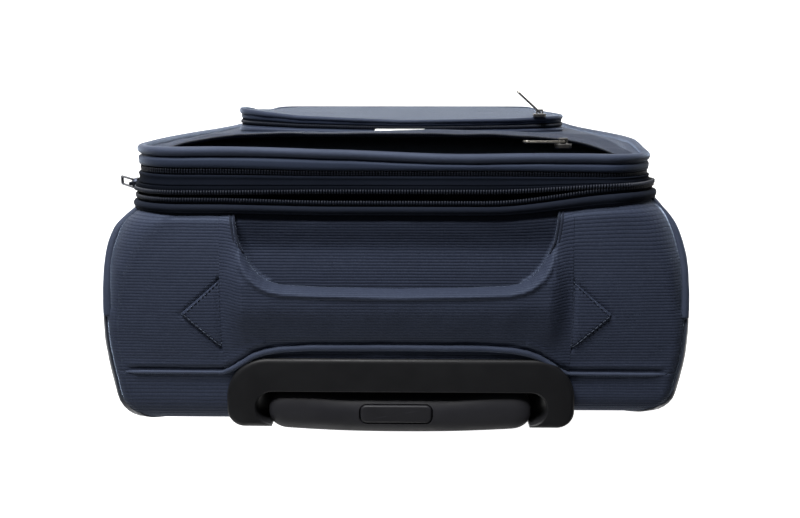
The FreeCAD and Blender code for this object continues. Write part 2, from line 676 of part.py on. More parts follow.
def make_tubes():
    """Three nested pairs of tubes, with the foot, the stage guides and the lock blocks."""
    spacing = TUBE_SPACING / 2

    def outer(side):
        return tube(OUTER_TUBE, OUTER_TUBE_WALL, TUBE_BEVEL, side * spacing, *OUTER_Z)

    save(both_sides(outer), "outer_tubes")
    reach = spacing + OUTER_TUBE[0] * 0.9
    deep = OUTER_TUBE[1] / 2
    save(block(-reach, reach, TUBE_DEPTH - deep, TUBE_DEPTH + deep, FOOT_Z, OUTER_Z[0]), "tube_foot")

    def mid(side):
        form = tube(MID_TUBE, MID_TUBE_WALL, MID_BEVEL, side * spacing, *MID_Z)
        inner_face = TUBE_DEPTH + MID_TUBE[1] / 2 - MID_TUBE_WALL
        groove = block(side * spacing - PIN_R - TUBE_PLAY, side * spacing + PIN_R + TUBE_PLAY,
                       TUBE_DEPTH, inner_face + GROOVE_DEEP, PIN_Z - 4 * PIN_R, MID_Z[1])
        return form.cut(groove)

    save(both_sides(mid), "middle_tubes")
    size = shrunk(OUTER_TUBE, OUTER_TUBE_WALL + TUBE_PLAY / 2)
    plug_z = (MID_Z[0] - GUIDE_LONG, MID_Z[0])

    def guide(side):
        return bevelled_bar(size, GUIDE_BEVEL, side * spacing, TUBE_DEPTH, *plug_z)

    save(both_sides(guide), "stage_guides")

    def pin_hole(side, radius):
        length = OUTER_TUBE[1] / 2
        start = V(side * spacing, y_at(TUBE_DEPTH - PIN_HOLE_TAIL), PIN_Z)
        return Part.makeCylinder(radius, length, start, FORWARD)

    def inner(side):
        form = tube(INNER_TUBE, INNER_TUBE_WALL, INNER_BEVEL, side * spacing, *INNER_Z)
        return form.cut(pin_hole(side, PIN_R + PIN_CLEAR))

    save(both_sides(inner), "inner_tubes")

    def lock_block(side):
        bevel = bore_bevel(INNER_BEVEL, INNER_TUBE_WALL)
        form = bevelled_bar(INNER_BORE, bevel, side * spacing, TUBE_DEPTH, *BLOCK_Z)
        return form.cut(pin_hole(side, PIN_R + PIN_PLAY))

    save(both_sides(lock_block), "lock_blocks")

    def lock_pin(side):
        tip = INNER_TUBE[1] / 2 + TUBE_PLAY + PIN_BITE
        start = V(side * spacing, y_at(TUBE_DEPTH - PIN_TAIL), PIN_Z)
        return Part.makeCylinder(PIN_R, tip + PIN_TAIL, start, FORWARD)

    save(both_sides(lock_pin), "lock_pins")


def grip_form(z0, z1, shrink=0.0):
    """Gently bowed grip seen from above, between two heights."""
    half = GRIP_HALF_L - shrink
    front = GRIP_CENTRE + GRIP_DEEP / 2 - shrink
    back = GRIP_CENTRE - GRIP_DEEP / 2 + shrink
    turn = half - (front - back) / 2
    centre = (front + back) / 2
    edges = [
        Part.Arc(V(-turn, y_at(front), z0), V(0, y_at(front - GRIP_BOW), z0), V(turn, y_at(front), z0)),
        Part.Arc(V(turn, y_at(front), z0), V(half, y_at(centre), z0), V(turn, y_at(back), z0)),
        Part.Arc(V(turn, y_at(back), z0), V(0, y_at(back - GRIP_BOW), z0), V(-turn, y_at(back), z0)),
        Part.Arc(V(-turn, y_at(back), z0), V(-half, y_at(centre), z0), V(-turn, y_at(front), z0)),
    ]
    return Part.Face(Part.Wire([e.toShape() for e in edges])).extrude(V(0, 0, z1 - z0))


def button_block(grow, z0, z1):
    """The push button's rounded block, grown by a gap for its hole."""
    size = (BUTTON_W + 2 * grow, BUTTON_DEEP + 2 * grow)
    return bevelled_bar(size, BUTTON_CUT + grow, 0, BUTTON_DEPTH, z0, z1)


def make_grip():
    """Grip in two shells, with the push button, its yoke and spring inside."""
    spacing = TUBE_SPACING / 2
    cavity_top = GRIP_TOP - BUTTON_THICK + CAVITY_RISE
    upper = grip_form(GRIP_SPLIT, GRIP_TOP)
    rim = [e for e in upper.Edges if abs(e.BoundBox.ZMin - GRIP_TOP) < 1e-6]
    upper = upper.makeChamfer(GRIP_BEVEL, rim)
    rods = spacing + YOKE_END + CAVITY_SIDE
    cavity = block(-rods, rods, TUBE_DEPTH - YOKE_BACK - CAVITY_BACK, TUBE_DEPTH + YOKE_FRONT + CAVITY_PLAY,
                   GRIP_SPLIT, cavity_top)
    upper = upper.cut(cavity).cut(button_block(BUTTON_GAP, GRIP_SPLIT, GRIP_TOP + BUTTON_THICK))
    save(upper, "grip_upper_shell")
    lower = grip_form(GRIP_LOW, GRIP_SPLIT)
    spring_floor = GRIP_LOW + SPRING_FLOOR
    for side in (-1, 1):
        lower = lower.cut(bevelled_bar(INNER_TUBE, INNER_BEVEL, side * spacing, TUBE_DEPTH, 0, GRIP_SPLIT))
    nest = SPRING_HALF_L + SPRING_NEST
    deep = SPRING_WIDE / 2 + SPRING_PLAY
    lower = lower.cut(block(-nest, nest, BUTTON_DEPTH - deep, BUTTON_DEPTH + deep, spring_floor, GRIP_SPLIT))
    save(lower, "grip_lower_shell")
    button_low = cavity_top + CAVITY_RISE
    button_top = GRIP_TOP + BUTTON_PROUD
    button = button_block(0, button_low, button_top)
    rim = [e for e in button.Edges if abs(e.BoundBox.ZMin - button_top) < 1e-6]
    save(button.makeChamfer(BUTTON_EDGE, rim), "release_button")
    bar_low = GRIP_SPLIT + BUTTON_TRAVEL + YOKE_PLAY
    bar_high = bar_low + YOKE_THICK
    reach = spacing + YOKE_END
    post_w, post_d = YOKE_POST
    yoke = block(-reach, reach, TUBE_DEPTH - YOKE_BACK, TUBE_DEPTH + YOKE_FRONT, bar_low, bar_high)
    post = block(-post_w, post_w, BUTTON_DEPTH - post_d, BUTTON_DEPTH + post_d, bar_high, button_low)
    yoke = yoke.fuse(post)
    rod_low = BLOCK_Z[1] + BUTTON_TRAVEL + ROD_RISE
    for side in (-1, 1):
        start = V(side * spacing, y_at(TUBE_DEPTH), rod_low)
        yoke = yoke.fuse(Part.makeCylinder(ROD_R, bar_low - rod_low, start))
    save(yoke.removeSplitter(), "push_yoke")
    save(leaf_spring(SPRING_HALF_L, SPRING_SHEET, SPRING_WIDE, spring_floor, bar_low), "button_spring")


def leaf_spring(half_l, sheet, width, z0, z1):
    """Bowed leaf spring under the yoke: its ends stand on the lower shell."""
    crown = half_l / 3
    points = [
        V(-half_l, 0, z0), V(-crown, 0, z1), V(crown, 0, z1), V(half_l, 0, z0),
        V(half_l - 2 * sheet, 0, z0), V(crown - sheet, 0, z1 - sheet), V(sheet - crown, 0, z1 - sheet),
        V(2 * sheet - half_l, 0, z0),
    ]
    face = flat_face(points)
    face.translate(V(0, y_at(BUTTON_DEPTH + width / 2), 0))
    return face.extrude(V(0, width, 0))


def wheel_ring(x, bore, radius, width):
    """Ring about a wheel's axle."""
    start = V(x - width / 2, y_at(AXLE_DEPTH), WHEEL_R)
    ring = Part.makeCylinder(radius, width, start, RIGHT)
    return ring.cut(Part.makeCylinder(bore, width, start, RIGHT))


def make_wheel(side, name):
    """Tyre, hub and bearing."""
    x = side * WHEEL_X
    save(wheel_ring(x, HUB_R, WHEEL_R, WHEEL_W), f"{name}_tyre")
    save(wheel_ring(x, BEARING_R, HUB_R, HUB_W), f"{name}_hub")
    save(wheel_ring(x, AXLE_R + AXLE_PLAY, BEARING_R, WHEEL_W), f"{name}_bearing")


def make_wheel_housings():
    """Moulded housings round the wheels, and their axles."""
    for side, name in ((-1, "left"), (1, "right")):
        x = side * WHEEL_X
        well_half = WHEEL_W / 2 + WELL_SIDE
        centre = V(x - well_half, y_at(AXLE_DEPTH), WHEEL_R)
        well = Part.makeCylinder(WHEEL_R + WELL_PLAY, 2 * well_half, centre, V(1, 0, 0))
        mouth = block(x - well_half, x + well_half, -WHEEL_R, AXLE_DEPTH + WHEEL_R + WELL_PLAY, -1, WHEEL_R)
        behind = block(x - well_half, x + well_half, -WHEEL_R, AXLE_DEPTH, WHEEL_R, WHEEL_R * (1 + WELL_ARCH))
        form = housing_form(side).cut(well).cut(mouth).cut(behind)
        start = V(x - 2 * HOUSING_HALF_W, y_at(AXLE_DEPTH), WHEEL_R)
        bore = Part.makeCylinder(AXLE_R, 4 * HOUSING_HALF_W, start, RIGHT)
        save(form.cut(bore), f"{name}_wheel_housing")

    def axle(side):
        x = side * WHEEL_X
        start = V(x - HOUSING_HALF_W, y_at(AXLE_DEPTH), WHEEL_R)
        return Part.makeCylinder(AXLE_R, 2 * HOUSING_HALF_W, start, RIGHT)

    save(both_sides(axle), "wheel_axles")


def make_feet():
    """Two moulded feet under the front of the case, drawn in towards the floor."""
    def foot(side):
        sections = []
        for z, draw_in in ((0.0, FOOT_TAPER), (BODY_LOW, 0.0)):
            centre = V(side * FOOT_X, y_at(FOOT_DEPTH), z)
            half_w = FOOT_W / 2 - draw_in
            half_d = FOOT_DEEP / 2 - draw_in / 2
            sections.append(faceted(centre, half_w, half_d, FOOT_R, RIGHT, FORWARD))
        return stacked(sections)

    save(both_sides(foot), "front_feet")


def make_carry_handle():
    """Padded carry handle over the scoop, with triangular tabs sewn to the top end."""
    z = BODY_HIGH
    rest = SCOOP_BACK_HALF + PAD_REST
    lifted = SCOOP_BACK_HALF - PAD_REST
    low = [V(PAD_HALF_L, 0, z + PAD_END), V(PAD_HALF_L, 0, z), V(rest, 0, z), V(lifted, 0, z + PAD_LIFT),
           V(-lifted, 0, z + PAD_LIFT), V(-rest, 0, z), V(-PAD_HALF_L, 0, z), V(-PAD_HALF_L, 0, z + PAD_END)]
    edges = [Part.Arc(low[-1], V(0, 0, z + PAD_CROWN), low[0])]
    edges += [Part.LineSegment(near, far) for near, far in zip(low, low[1:])]
    face = Part.Face(Part.Wire([e.toShape() for e in edges]))
    face.translate(V(0, y_at(PAD_FRONT), 0))
    pad = face.extrude(V(0, PAD_FRONT - PAD_BACK, 0))
    crown = [e for e in pad.Edges if e.BoundBox.ZMin > z + PAD_LIFT and e.BoundBox.YLength < 1e-6
             and e.BoundBox.XLength > PAD_HALF_L]
    pad = pad.makeChamfer(PAD_BEVEL, crown)
    middle = (PAD_BACK + PAD_FRONT) / 2 + TAB_SHIFT
    for side in (-1, 1):
        root = side * (PAD_HALF_L - TAB_ROOT)
        points = [V(root, y_at(middle - TAB_BASE / 2), z), V(root, y_at(middle + TAB_BASE / 2), z),
                  V(root + side * TAB_LONG, y_at(middle), z)]
        tab = flat_face(points).extrude(V(0, 0, TAB_THICK))
        pad = pad.fuse(tab)
    pad = pad.removeSplitter().cut(cup_plan(BODY_HIGH - 1, BODY_HIGH + 2 * CUP_RISE, CUP_GAP))
    save(pad, "carry_handle")


def make_side_handle(case_form):
    """Webbing handle on the right side, with a cap over each end."""
    half = STRAP_LONG / 2
    low = STRAP_Z - half
    high = STRAP_Z + half
    base = RIM_HALF_W
    end_out = STRAP_OUT - STRAP_THICK
    y = y_at(STRAP_BACK + STRAP_WIDE)
    points = [
        V(base, y, low), V(end_out, y, low),
        V(STRAP_OUT, y, low + STRAP_END), V(STRAP_OUT, y, high - STRAP_END),
        V(end_out, y, high), V(base, y, high),
        V(base, y, high - STRAP_END), V(end_out, y, high - STRAP_END - STRAP_SLOPE),
        V(end_out, y, low + STRAP_END + STRAP_SLOPE), V(base, y, low + STRAP_END),
    ]
    strap = flat_face(points).extrude(V(0, STRAP_WIDE, 0))
    save(strap.cut(case_form), "side_handle")
    caps = []
    for z0 in (low - CAP_PAST, high + CAP_PAST - CAP_LONG):
        cap = block(base, end_out + CAP_PROUD, STRAP_BACK - CAP_SIDE, STRAP_BACK + STRAP_WIDE + CAP_SIDE,
                    z0, z0 + CAP_LONG)
        rim = [e for e in cap.Edges if abs(e.BoundBox.XMin - end_out - CAP_PROUD) < 1e-6]
        cap = cap.makeChamfer(CAP_BEVEL, rim)
        caps.append(cap.cut(case_form).cut(strap))
    save(Part.makeCompound(caps), "side_handle_caps")


def seam_point(side, depth, high):
    """Where a mitred seam crosses the outside of the body at a depth, at the top or the bottom end."""
    shrink = back_inset(depth)
    half = side_half_width(depth) - shrink
    radius = corner_radius(depth)
    lowest, highest = 0.0, radius
    for _ in range(40):
        drop = (lowest + highest) / 2
        across = radius - math.sqrt(max(0.0, radius**2 - (radius - drop)**2))
        if (half - across) + (drop + shrink) > SEAM_HALF_W:
            highest = drop
        else:
            lowest = drop
    across = radius - math.sqrt(max(0.0, radius**2 - (radius - drop)**2))
    z = BODY_HIGH - shrink - drop if high else BODY_LOW + shrink + drop
    return V(side * (half - across), y_at(depth), z)


def pipe_ring(centre, u, v):
    """Eight-sided section of the piping across two directions."""
    return [centre + u * (PIPE_R * math.cos(math.pi / 4 * k)) + v * (PIPE_R * math.sin(math.pi / 4 * k))
            for k in range(8)]


def side_piping(side):
    """Piping of one side panel: top seam, bottom seam and the upright seam at the back."""
    runs = []
    for high, start in ((True, GUARD_FRONT + PIPE_R), (False, HOUSING_FRONT + PIPE_R)):
        steps = [start, start + (BODY_DEPTH - start) * PIPE_JOINT, BODY_DEPTH - PIPE_R]
        runs.append(stacked([pipe_ring(seam_point(side, depth, high), RIGHT, UP) for depth in steps]))
    corner = seam_point(side, BACK_ROUND / 2, True)
    low = HOUSING_TOP + PIPE_R
    top = BODY_HIGH - GUARD_DROP - PIPE_R
    upright = pipe_ring(V(corner.x, corner.y, low), RIGHT, FORWARD)
    runs.append(flat_face(upright).extrude(V(0, 0, top - low)))
    return Part.makeCompound(runs)


def corner_guard(side, skin):
    """Smooth guard over a top rear corner: along the side seam and down the back edge."""
    edge = sorted((side * (BULGE_HALF_W - GUARD_STRIP - GUARD_IN), side * (BULGE_HALF_W + REACH)))
    along_top = block(edge[0], edge[1], -REACH, GUARD_FRONT, BODY_HIGH - GUARD_STRIP, BODY_HIGH + REACH)
    down_back = block(edge[0], edge[1], -REACH, GUARD_STRIP + GUARD_BACK,
                      BODY_HIGH - GUARD_DROP, BODY_HIGH + REACH)
    return skin.common(along_top.fuse(down_back))


def make_edges(case_form):
    """Piping in the side seams and guards over the top rear corners."""
    save(both_sides(side_piping).cut(case_form), "side_piping")
    skin = body_form(-GUARD_THICK).cut(case_form)
    save(both_sides(lambda side: corner_guard(side, skin)), "corner_guards")


def placed(shape, origin, along, out):
    """Turn a shape from its own axes (x along the chain, z out of the fabric) to its place."""
    across = out.cross(along)
    matrix = FreeCAD.Matrix(along.x, across.x, out.x, origin.x, along.y, across.y, out.y, origin.y,
                            along.z, across.z, out.z, origin.z, 0, 0, 0, 1)
    turned_shape = shape.copy()
    turned_shape.Placement = FreeCAD.Placement(matrix).multiply(shape.Placement)
    return turned_shape


BAIL_HIGH = PULL_BAR + 2 * PULL_PLAY
PIN_OUT = SLIDER_CLEAR + SLIDER_HIGH + BAIL_HIGH / 2


def slider_form():
    """Zip slider: a body with cut corners and the bridge that holds the pull's end bar."""
    across = V(0, 1, 0)
    ring = faceted(V(0, 0, SLIDER_CLEAR), SLIDER_LONG / 2, SLIDER_WIDE / 2, SLIDER_WIDE / 4, RIGHT, across)
    body = flat_face(ring).extrude(V(0, 0, SLIDER_HIGH))
    root = SLIDER_CLEAR + SLIDER_HIGH
    long = BAIL_OPEN + 2 * BAIL_BAR
    bail = Part.makeBox(long, BAIL_WIDE, BAIL_HIGH + BAIL_BAR, V(-long / 2, -BAIL_WIDE / 2, root))
    hole = Part.makeBox(BAIL_OPEN, SLIDER_WIDE, BAIL_HIGH, V(-BAIL_OPEN / 2, -SLIDER_WIDE / 2, root))
    return body.fuse(bail.cut(hole)).removeSplitter()


def pull_form(angle):
    """Frame-shaped pull: its end bar turns under the bridge; it points along -x at angle 0."""
    long = PULL_LONG + PULL_BAR / 2
    frame = Part.makeBox(long, PULL_WIDE, PULL_BAR, V(-PULL_LONG, -PULL_WIDE / 2, -PULL_BAR / 2))
    free = [e for e in frame.Edges if is_upright(e) and e.BoundBox.XMin < -PULL_BAR]
    frame = frame.makeChamfer(PULL_SIDE, free)
    inside = PULL_WIDE - 2 * PULL_SIDE
    window = Part.makeBox(PULL_LONG - PULL_TIP - PULL_BAR / 2, inside, 2 * PULL_BAR,
                          V(PULL_TIP - PULL_LONG, -inside / 2, -PULL_BAR))
    form = frame.cut(window)
    form.rotate(V(0, 0, 0), V(0, 1, 0), angle)
    form.translate(V(0, 0, PIN_OUT))
    return form


ZIP_SIDE_X = LID_HALF_W + SLIDER_SINK

# Each slider: place on the chain, direction along the chain, outward direction, rest angle of its pull.
SLIDERS = {
    "main_upper": (V(ZIP_SIDE_X, y_at(LID_BACK), MAIN_UPPER_Z), UP, RIGHT, 0.0),
    "main_lower": (V(ZIP_SIDE_X, y_at(LID_BACK), MAIN_LOWER_Z), UP, RIGHT, 0.0),
    "expander": (
        V(RIM_HALF_W - TAPE_IN, y_at(RING_BACK + SLIDER_SINK), BODY_HIGH - RIM_R),
        UP, RIGHT, EXPANDER_PULL,
    ),
    "upper_pocket": (
        V(UPPER_SLIDER_IN - UPPER_HALF_W, y_at(LID_FRONT + SLIDER_SINK),
          BODY_HIGH - UPPER_DROP + UPPER_SLIDER_RISE),
        -RIGHT, FORWARD, 0.0,
    ),
    "lower_pocket": (
        V(LOWER_SLIDER_IN - POCKET_HALF_W, y_at(LID_FRONT + POCKET_THICK + POCKET_PIPE / 2),
          BODY_HIGH - POCKET_DROP - LOWER_SLIDER_DROP),
        -RIGHT, FORWARD, LOWER_PULL,
    ),
}


def make_sliders():
    """Sliders on the zips, each with its pull."""
    for name, (origin, along, out, angle) in SLIDERS.items():
        save(placed(slider_form(), origin, along, out), f"{name}_slider")
        save(placed(pull_form(angle), origin, along, out), f"{name}_pull")


def main():
    """Build every sub-part."""
    os.makedirs(OUT, exist_ok=True)
    case_form = body_form(0)
    housings = Part.makeCompound([housing_form(-1), housing_form(1)])
    make_panels(case_form, housings)
    make_inner_skins(housings)
    make_rim()
    make_ring()
    make_lid()
    make_lower_pocket()
    make_upper_pocket()
    make_handle_cup()
    make_tubes()
    make_grip()
    for side, name in ((-1, "left"), (1, "right")):
        make_wheel(side, name)
    make_wheel_housings()
    make_feet()
    make_carry_handle()
    make_side_handle(case_form)
    make_edges(case_form)
    make_sliders()


main()
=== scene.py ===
"""Softside upright suitcase, seen from its top end.

Pieces are drawn in case coordinates: x in mm, depth in mm forward from the flat back, z in mm above
the floor. put() turns them into the frame's metres.
"""
import json
import math
from contextlib import contextmanager
import bmesh
import bpy
import numpy as np
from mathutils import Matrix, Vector, noise

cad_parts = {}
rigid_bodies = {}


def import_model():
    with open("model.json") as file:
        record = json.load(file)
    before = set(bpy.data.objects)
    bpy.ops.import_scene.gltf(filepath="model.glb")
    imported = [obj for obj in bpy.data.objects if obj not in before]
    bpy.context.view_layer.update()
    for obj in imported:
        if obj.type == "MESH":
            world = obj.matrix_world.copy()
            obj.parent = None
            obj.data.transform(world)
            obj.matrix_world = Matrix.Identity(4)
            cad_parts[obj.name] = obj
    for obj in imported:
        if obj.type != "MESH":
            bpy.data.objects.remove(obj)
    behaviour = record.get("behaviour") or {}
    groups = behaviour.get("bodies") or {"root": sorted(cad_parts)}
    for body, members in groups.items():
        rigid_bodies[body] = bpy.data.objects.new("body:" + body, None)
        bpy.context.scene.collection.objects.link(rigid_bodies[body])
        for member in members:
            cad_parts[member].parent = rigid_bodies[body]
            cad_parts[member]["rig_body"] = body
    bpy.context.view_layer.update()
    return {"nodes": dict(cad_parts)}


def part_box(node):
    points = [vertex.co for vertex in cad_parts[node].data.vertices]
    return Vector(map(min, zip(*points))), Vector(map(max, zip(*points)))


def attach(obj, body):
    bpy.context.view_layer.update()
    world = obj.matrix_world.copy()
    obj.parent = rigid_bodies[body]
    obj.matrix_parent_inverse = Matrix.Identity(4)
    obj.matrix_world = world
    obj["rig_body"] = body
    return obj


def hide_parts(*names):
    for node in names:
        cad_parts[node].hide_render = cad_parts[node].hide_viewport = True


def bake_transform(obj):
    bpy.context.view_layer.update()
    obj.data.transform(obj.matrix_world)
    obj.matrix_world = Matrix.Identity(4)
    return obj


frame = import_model()

MM = 0.001
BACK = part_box("back_panel")[1][1]


def box_mm(node):
    """A CAD node's box in case coordinates: ranges of x, depth and z."""
    low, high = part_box(node)
    return ((low[0] / MM, high[0] / MM), ((BACK - high[1]) / MM, (BACK - low[1]) / MM),
            (low[2] / MM, high[2] / MM))


LOW, TOP = box_mm("back_panel")[2]
MIDDLE = (TOP + LOW) / 2

# Case body
BODY_DEPTH = box_mm("front_welt")[1][0]
BULGE_HALF = 202.0
BULGE_DEPTH = 72.0
BACK_HALF = 191.0
RIM_HALF = box_mm("front_welt")[0][1] - 1.2
BACK_ROUND = 16.0
EDGE_R = 10.0
RIM_R = 42.0
BACK_WRAP = 31.0

# Lid, pockets, handle cup and side strap
LID_HALF = box_mm("lid_shell")[0][1]
LID_LOW, LID_HIGH = box_mm("lid_shell")[2]
LID_MIDDLE = (LID_LOW + LID_HIGH) / 2
LID_R = 38.0
GUSSET_OUT = RIM_HALF - box_mm("expander_gusset")[0][1]
POCKET = box_mm("lower_pocket")
UPPER = box_mm("upper_pocket_panel")
CUP = box_mm("handle_cup")
CUP_SIDE = -3.0
CUP_HALF = 120.6
STRAP = box_mm("side_handle")

# Cloth, thread and zips
RIB = 2.1
TOOTH_PITCH = 1.87
POCKET_PITCH = 1.5
STITCH_PITCH = 3.4
STITCH_SIZE = (2.5, 0.55, 0.35)
MERGE = 0.02 * MM
PANEL_THICK = 3.0
POCKET_THICK = 2.4
FLAP_THICK = 1.6
GUARD_THICK = 2.6

# Soft forms of the top end: where they begin or end in depth, and how far they rise, lean or drop
FRONT_SEAM = 143.0
CROWN_BACK = 26.0
CROWN_HIGH = 5.2
BACK_LEAN = 6.5
LID_DROP = 6.5

# ---------------------------------------------------------------- numbers and grids

def smooth(a, b, t):
    """0 before a, 1 after b, and an even rise between."""
    s = np.clip((np.asarray(t, float) - a) / (b - a), 0.0, 1.0)
    return s * s * (3 - 2 * s)


def bump(centre, half, t):
    """A smooth hump of height 1 about a centre, 0 outside its half width."""
    s = np.clip(np.abs(np.asarray(t, float) - centre) / half, 0.0, 1.0)
    return (1 - s * s) ** 2


def ripple(points, scale, seed):
    """Smooth noise from about -1 to 1 at points in mm, with its features about so many mm across."""
    shift = Vector((seed * 17.3, seed * 5.1, seed * 9.7))
    points = np.asarray(points, float)
    out = []
    for p in points.reshape(-1, 3):
        q = Vector(p) / scale + shift
        out.append(noise.noise(q) + 0.5 * noise.noise(q * 2.1))
    return np.array(out).reshape(points.shape[:-1])


def stack(*parts):
    """Points from their coordinates, each an array or a number."""
    return np.stack(np.broadcast_arrays(*parts), -1)


def loop(points):
    """A line of points with its first one again at the end."""
    return np.vstack([points, points[:1]])


def run_of(points):
    """Distance along a line of points, from 0 at its start."""
    return np.concatenate([[0], np.cumsum(np.linalg.norm(np.diff(points, axis=0), axis=1))])


def unit(vectors):
    """Vectors of length 1."""
    return vectors / np.linalg.norm(vectors, axis=1)[:, None]


def put(points):
    """Case coordinates in mm to the frame's metres."""
    x, depth, z = np.moveaxis(np.asarray(points, float), -1, 0)
    return stack(x * MM, BACK - depth * MM, z * MM)


def grid_faces(rows, cols, wrap_rows=False, wrap_cols=False):
    """Quads of a grid of rows by columns."""
    r, c = np.meshgrid(np.arange(rows - (not wrap_rows)), np.arange(cols - (not wrap_cols)), indexing="ij")
    r2 = (r + 1) % rows
    c2 = (c + 1) % cols
    return stack(r * cols + c, r * cols + c2, r2 * cols + c2, r2 * cols + c).reshape(-1, 4)


def capped(rings):
    """Faces of a form built from rings of points, with a cap on each end."""
    rows, cols = np.shape(rings)[:2]
    faces = [list(f) for f in grid_faces(rows, cols, False, True)]
    return faces + [list(range(cols)), list(range((rows - 1) * cols, rows * cols))[::-1]]


def clean_faces(faces):
    """Quads with a repeated corner become triangles."""
    return [tuple(dict.fromkeys(map(int, f))) for f in faces]


@contextmanager
def edited(mesh):
    """A mesh opened for editing, and written back at the end."""
    work = bmesh.new()
    work.from_mesh(mesh)
    yield work
    work.to_mesh(mesh)
    work.free()


def give_uv(mesh, uv):
    """Write one pair of weave coordinates, in metres, for every point of a mesh."""
    layer = mesh.uv_layers.new(name="weave")
    index = np.empty(len(mesh.loops), int)
    mesh.loops.foreach_get("vertex_index", index)
    layer.data.foreach_set("uv", np.asarray(uv, np.float32)[index].ravel())


def piece(name, points, faces, look, body, slot, replaces=(), uv=None, fix=True):
    """A mesh object from points in case coordinates, riding on a body."""
    mesh = bpy.data.meshes.new(name)
    mesh.from_pydata(put(np.reshape(points, (-1, 3))).tolist(), [], clean_faces(faces))
    if uv is not None:
        give_uv(mesh, np.reshape(uv, (-1, 2)) * MM)
    if fix:
        with edited(mesh) as work:
            bmesh.ops.recalc_face_normals(work, faces=work.faces[:])
    mesh.polygons.foreach_set("use_smooth", [True] * len(mesh.polygons))
    return register(bpy.data.objects.new(name, mesh), look, body, slot, replaces)


def link(obj):
    """Put an object into the scene."""
    bpy.context.scene.collection.objects.link(obj)


def register(obj, look, body, slot, replaces=()):
    """Link an object, give it a material by its key, hide the parts it replaces and attach it to the body it
    rides on.
    """
    if obj.name not in bpy.context.scene.collection.objects:
        link(obj)
    obj.data.materials.clear()
    obj.data.materials.append(MATERIALS[look])
    if body:
        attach(obj, body)
    if replaces:
        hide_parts(*replaces)
    return obj


def copied(node, name):
    """A linked copy of a CAD node's own mesh, with its facets' shared corners merged."""
    obj = bpy.data.objects.new(name, frame["nodes"][node].data.copy())
    link(obj)
    with edited(obj.data) as work:
        bmesh.ops.remove_doubles(work, verts=work.verts, dist=MERGE)
    return obj


def apply_modifiers(obj):
    """Turn what the modifiers make into the object's own mesh, in the same materials."""
    looks = list(obj.data.materials)
    graph = bpy.context.evaluated_depsgraph_get()
    mesh = bpy.data.meshes.new_from_object(obj.evaluated_get(graph))
    obj.modifiers.clear()
    obj.data = mesh
    mesh.materials.clear()
    for look in looks:
        mesh.materials.append(look)


def add_modifier(obj, kind, **values):
    """Put a modifier on an object."""
    modifier = obj.modifiers.new(kind.lower(), kind)
    for key, value in values.items():
        setattr(modifier, key, value)


def thicken(obj, thick_mm):
    """Give a sheet of cloth its thickness, inwards."""
    add_modifier(obj, "SOLIDIFY", thickness=thick_mm * MM, offset=-1.0)


def round_edges(obj, width, degrees):
    """Round the edges sharper than an angle."""
    add_modifier(obj, "BEVEL", width=width * MM, segments=3, limit_method="ANGLE",
                 angle_limit=math.radians(degrees))


def sharp_by_angle(obj, degrees):
    """Smooth shading that keeps edges sharper than an angle."""
    obj.data.polygons.foreach_set("use_smooth", [True] * len(obj.data.polygons))
    with edited(obj.data) as work:
        for edge in work.edges:
            edge.smooth = edge.calc_face_angle(0.0) < math.radians(degrees)


def face_front(obj):
    """Merge a fan of rings at its pole and turn its faces to the front."""
    with edited(obj.data) as work:
        bmesh.ops.remove_doubles(work, verts=work.verts, dist=MERGE)
        bmesh.ops.recalc_face_normals(work, faces=work.faces[:])
        if sum(f.normal.y * f.calc_area() for f in work.faces) > 0:
            bmesh.ops.reverse_faces(work, faces=work.faces[:])


# ---------------------------------------------------------------- outlines

def rim_outline(half_w, low, high, radius, step):
    """Rounded rectangle seen from the front, from the middle of the bottom: x, z, outward normal, run."""
    parts = []

    def straight(x0, z0, x1, z1, nx, nz):
        length = math.hypot(x1 - x0, z1 - z0)
        count = max(2, int(round(length / step)))
        for k in range(count):
            t = k / count
            parts.append((x0 + (x1 - x0) * t, z0 + (z1 - z0) * t, nx, nz))

    def corner(cx, cz, start):
        count = max(6, int(round(radius * math.pi / 2 / (step * 0.6))))
        for k in range(count):
            angle = math.radians(start) + math.pi / 2 * k / count
            parts.append((cx + radius * math.cos(angle), cz + radius * math.sin(angle),
                          math.cos(angle), math.sin(angle)))

    wide = half_w - radius
    straight(0, low, wide, low, 0, -1)
    corner(wide, low + radius, -90)
    straight(half_w, low + radius, half_w, high - radius, 1, 0)
    corner(wide, high - radius, 0)
    straight(wide, high, -wide, high, 0, 1)
    corner(-wide, high - radius, 90)
    straight(-half_w, high - radius, -half_w, low + radius, -1, 0)
    corner(-wide, low + radius, 180)
    straight(-wide, low, 0, low, 0, -1)
    line = np.array(parts)
    return line[:, :2], line[:, 2:], run_of(loop(line[:, :2]))[:-1]


SHIFT_DEPTH = [118, 143.4, 149.5, 153.6, 157.4, 160.9, 168, 171, 176, 180.5, 200]
SHIFT_RIGHT = [0, -0.3, -0.8, -1.8, -1.0, -0.6, 0, 0, 0, 0, 0]
SHIFT_MIDDLE = [0, -1.5, -2.2, -3.7, -0.2, -0.3, -0.8, -1.4, -2.4, -3.2, -3.0]
SHIFT_LEFT = [0, 7.0, 7.4, 6.7, 4.4, 2.0, -1.3, -2.4, -4.0, -5.9, -5.9]


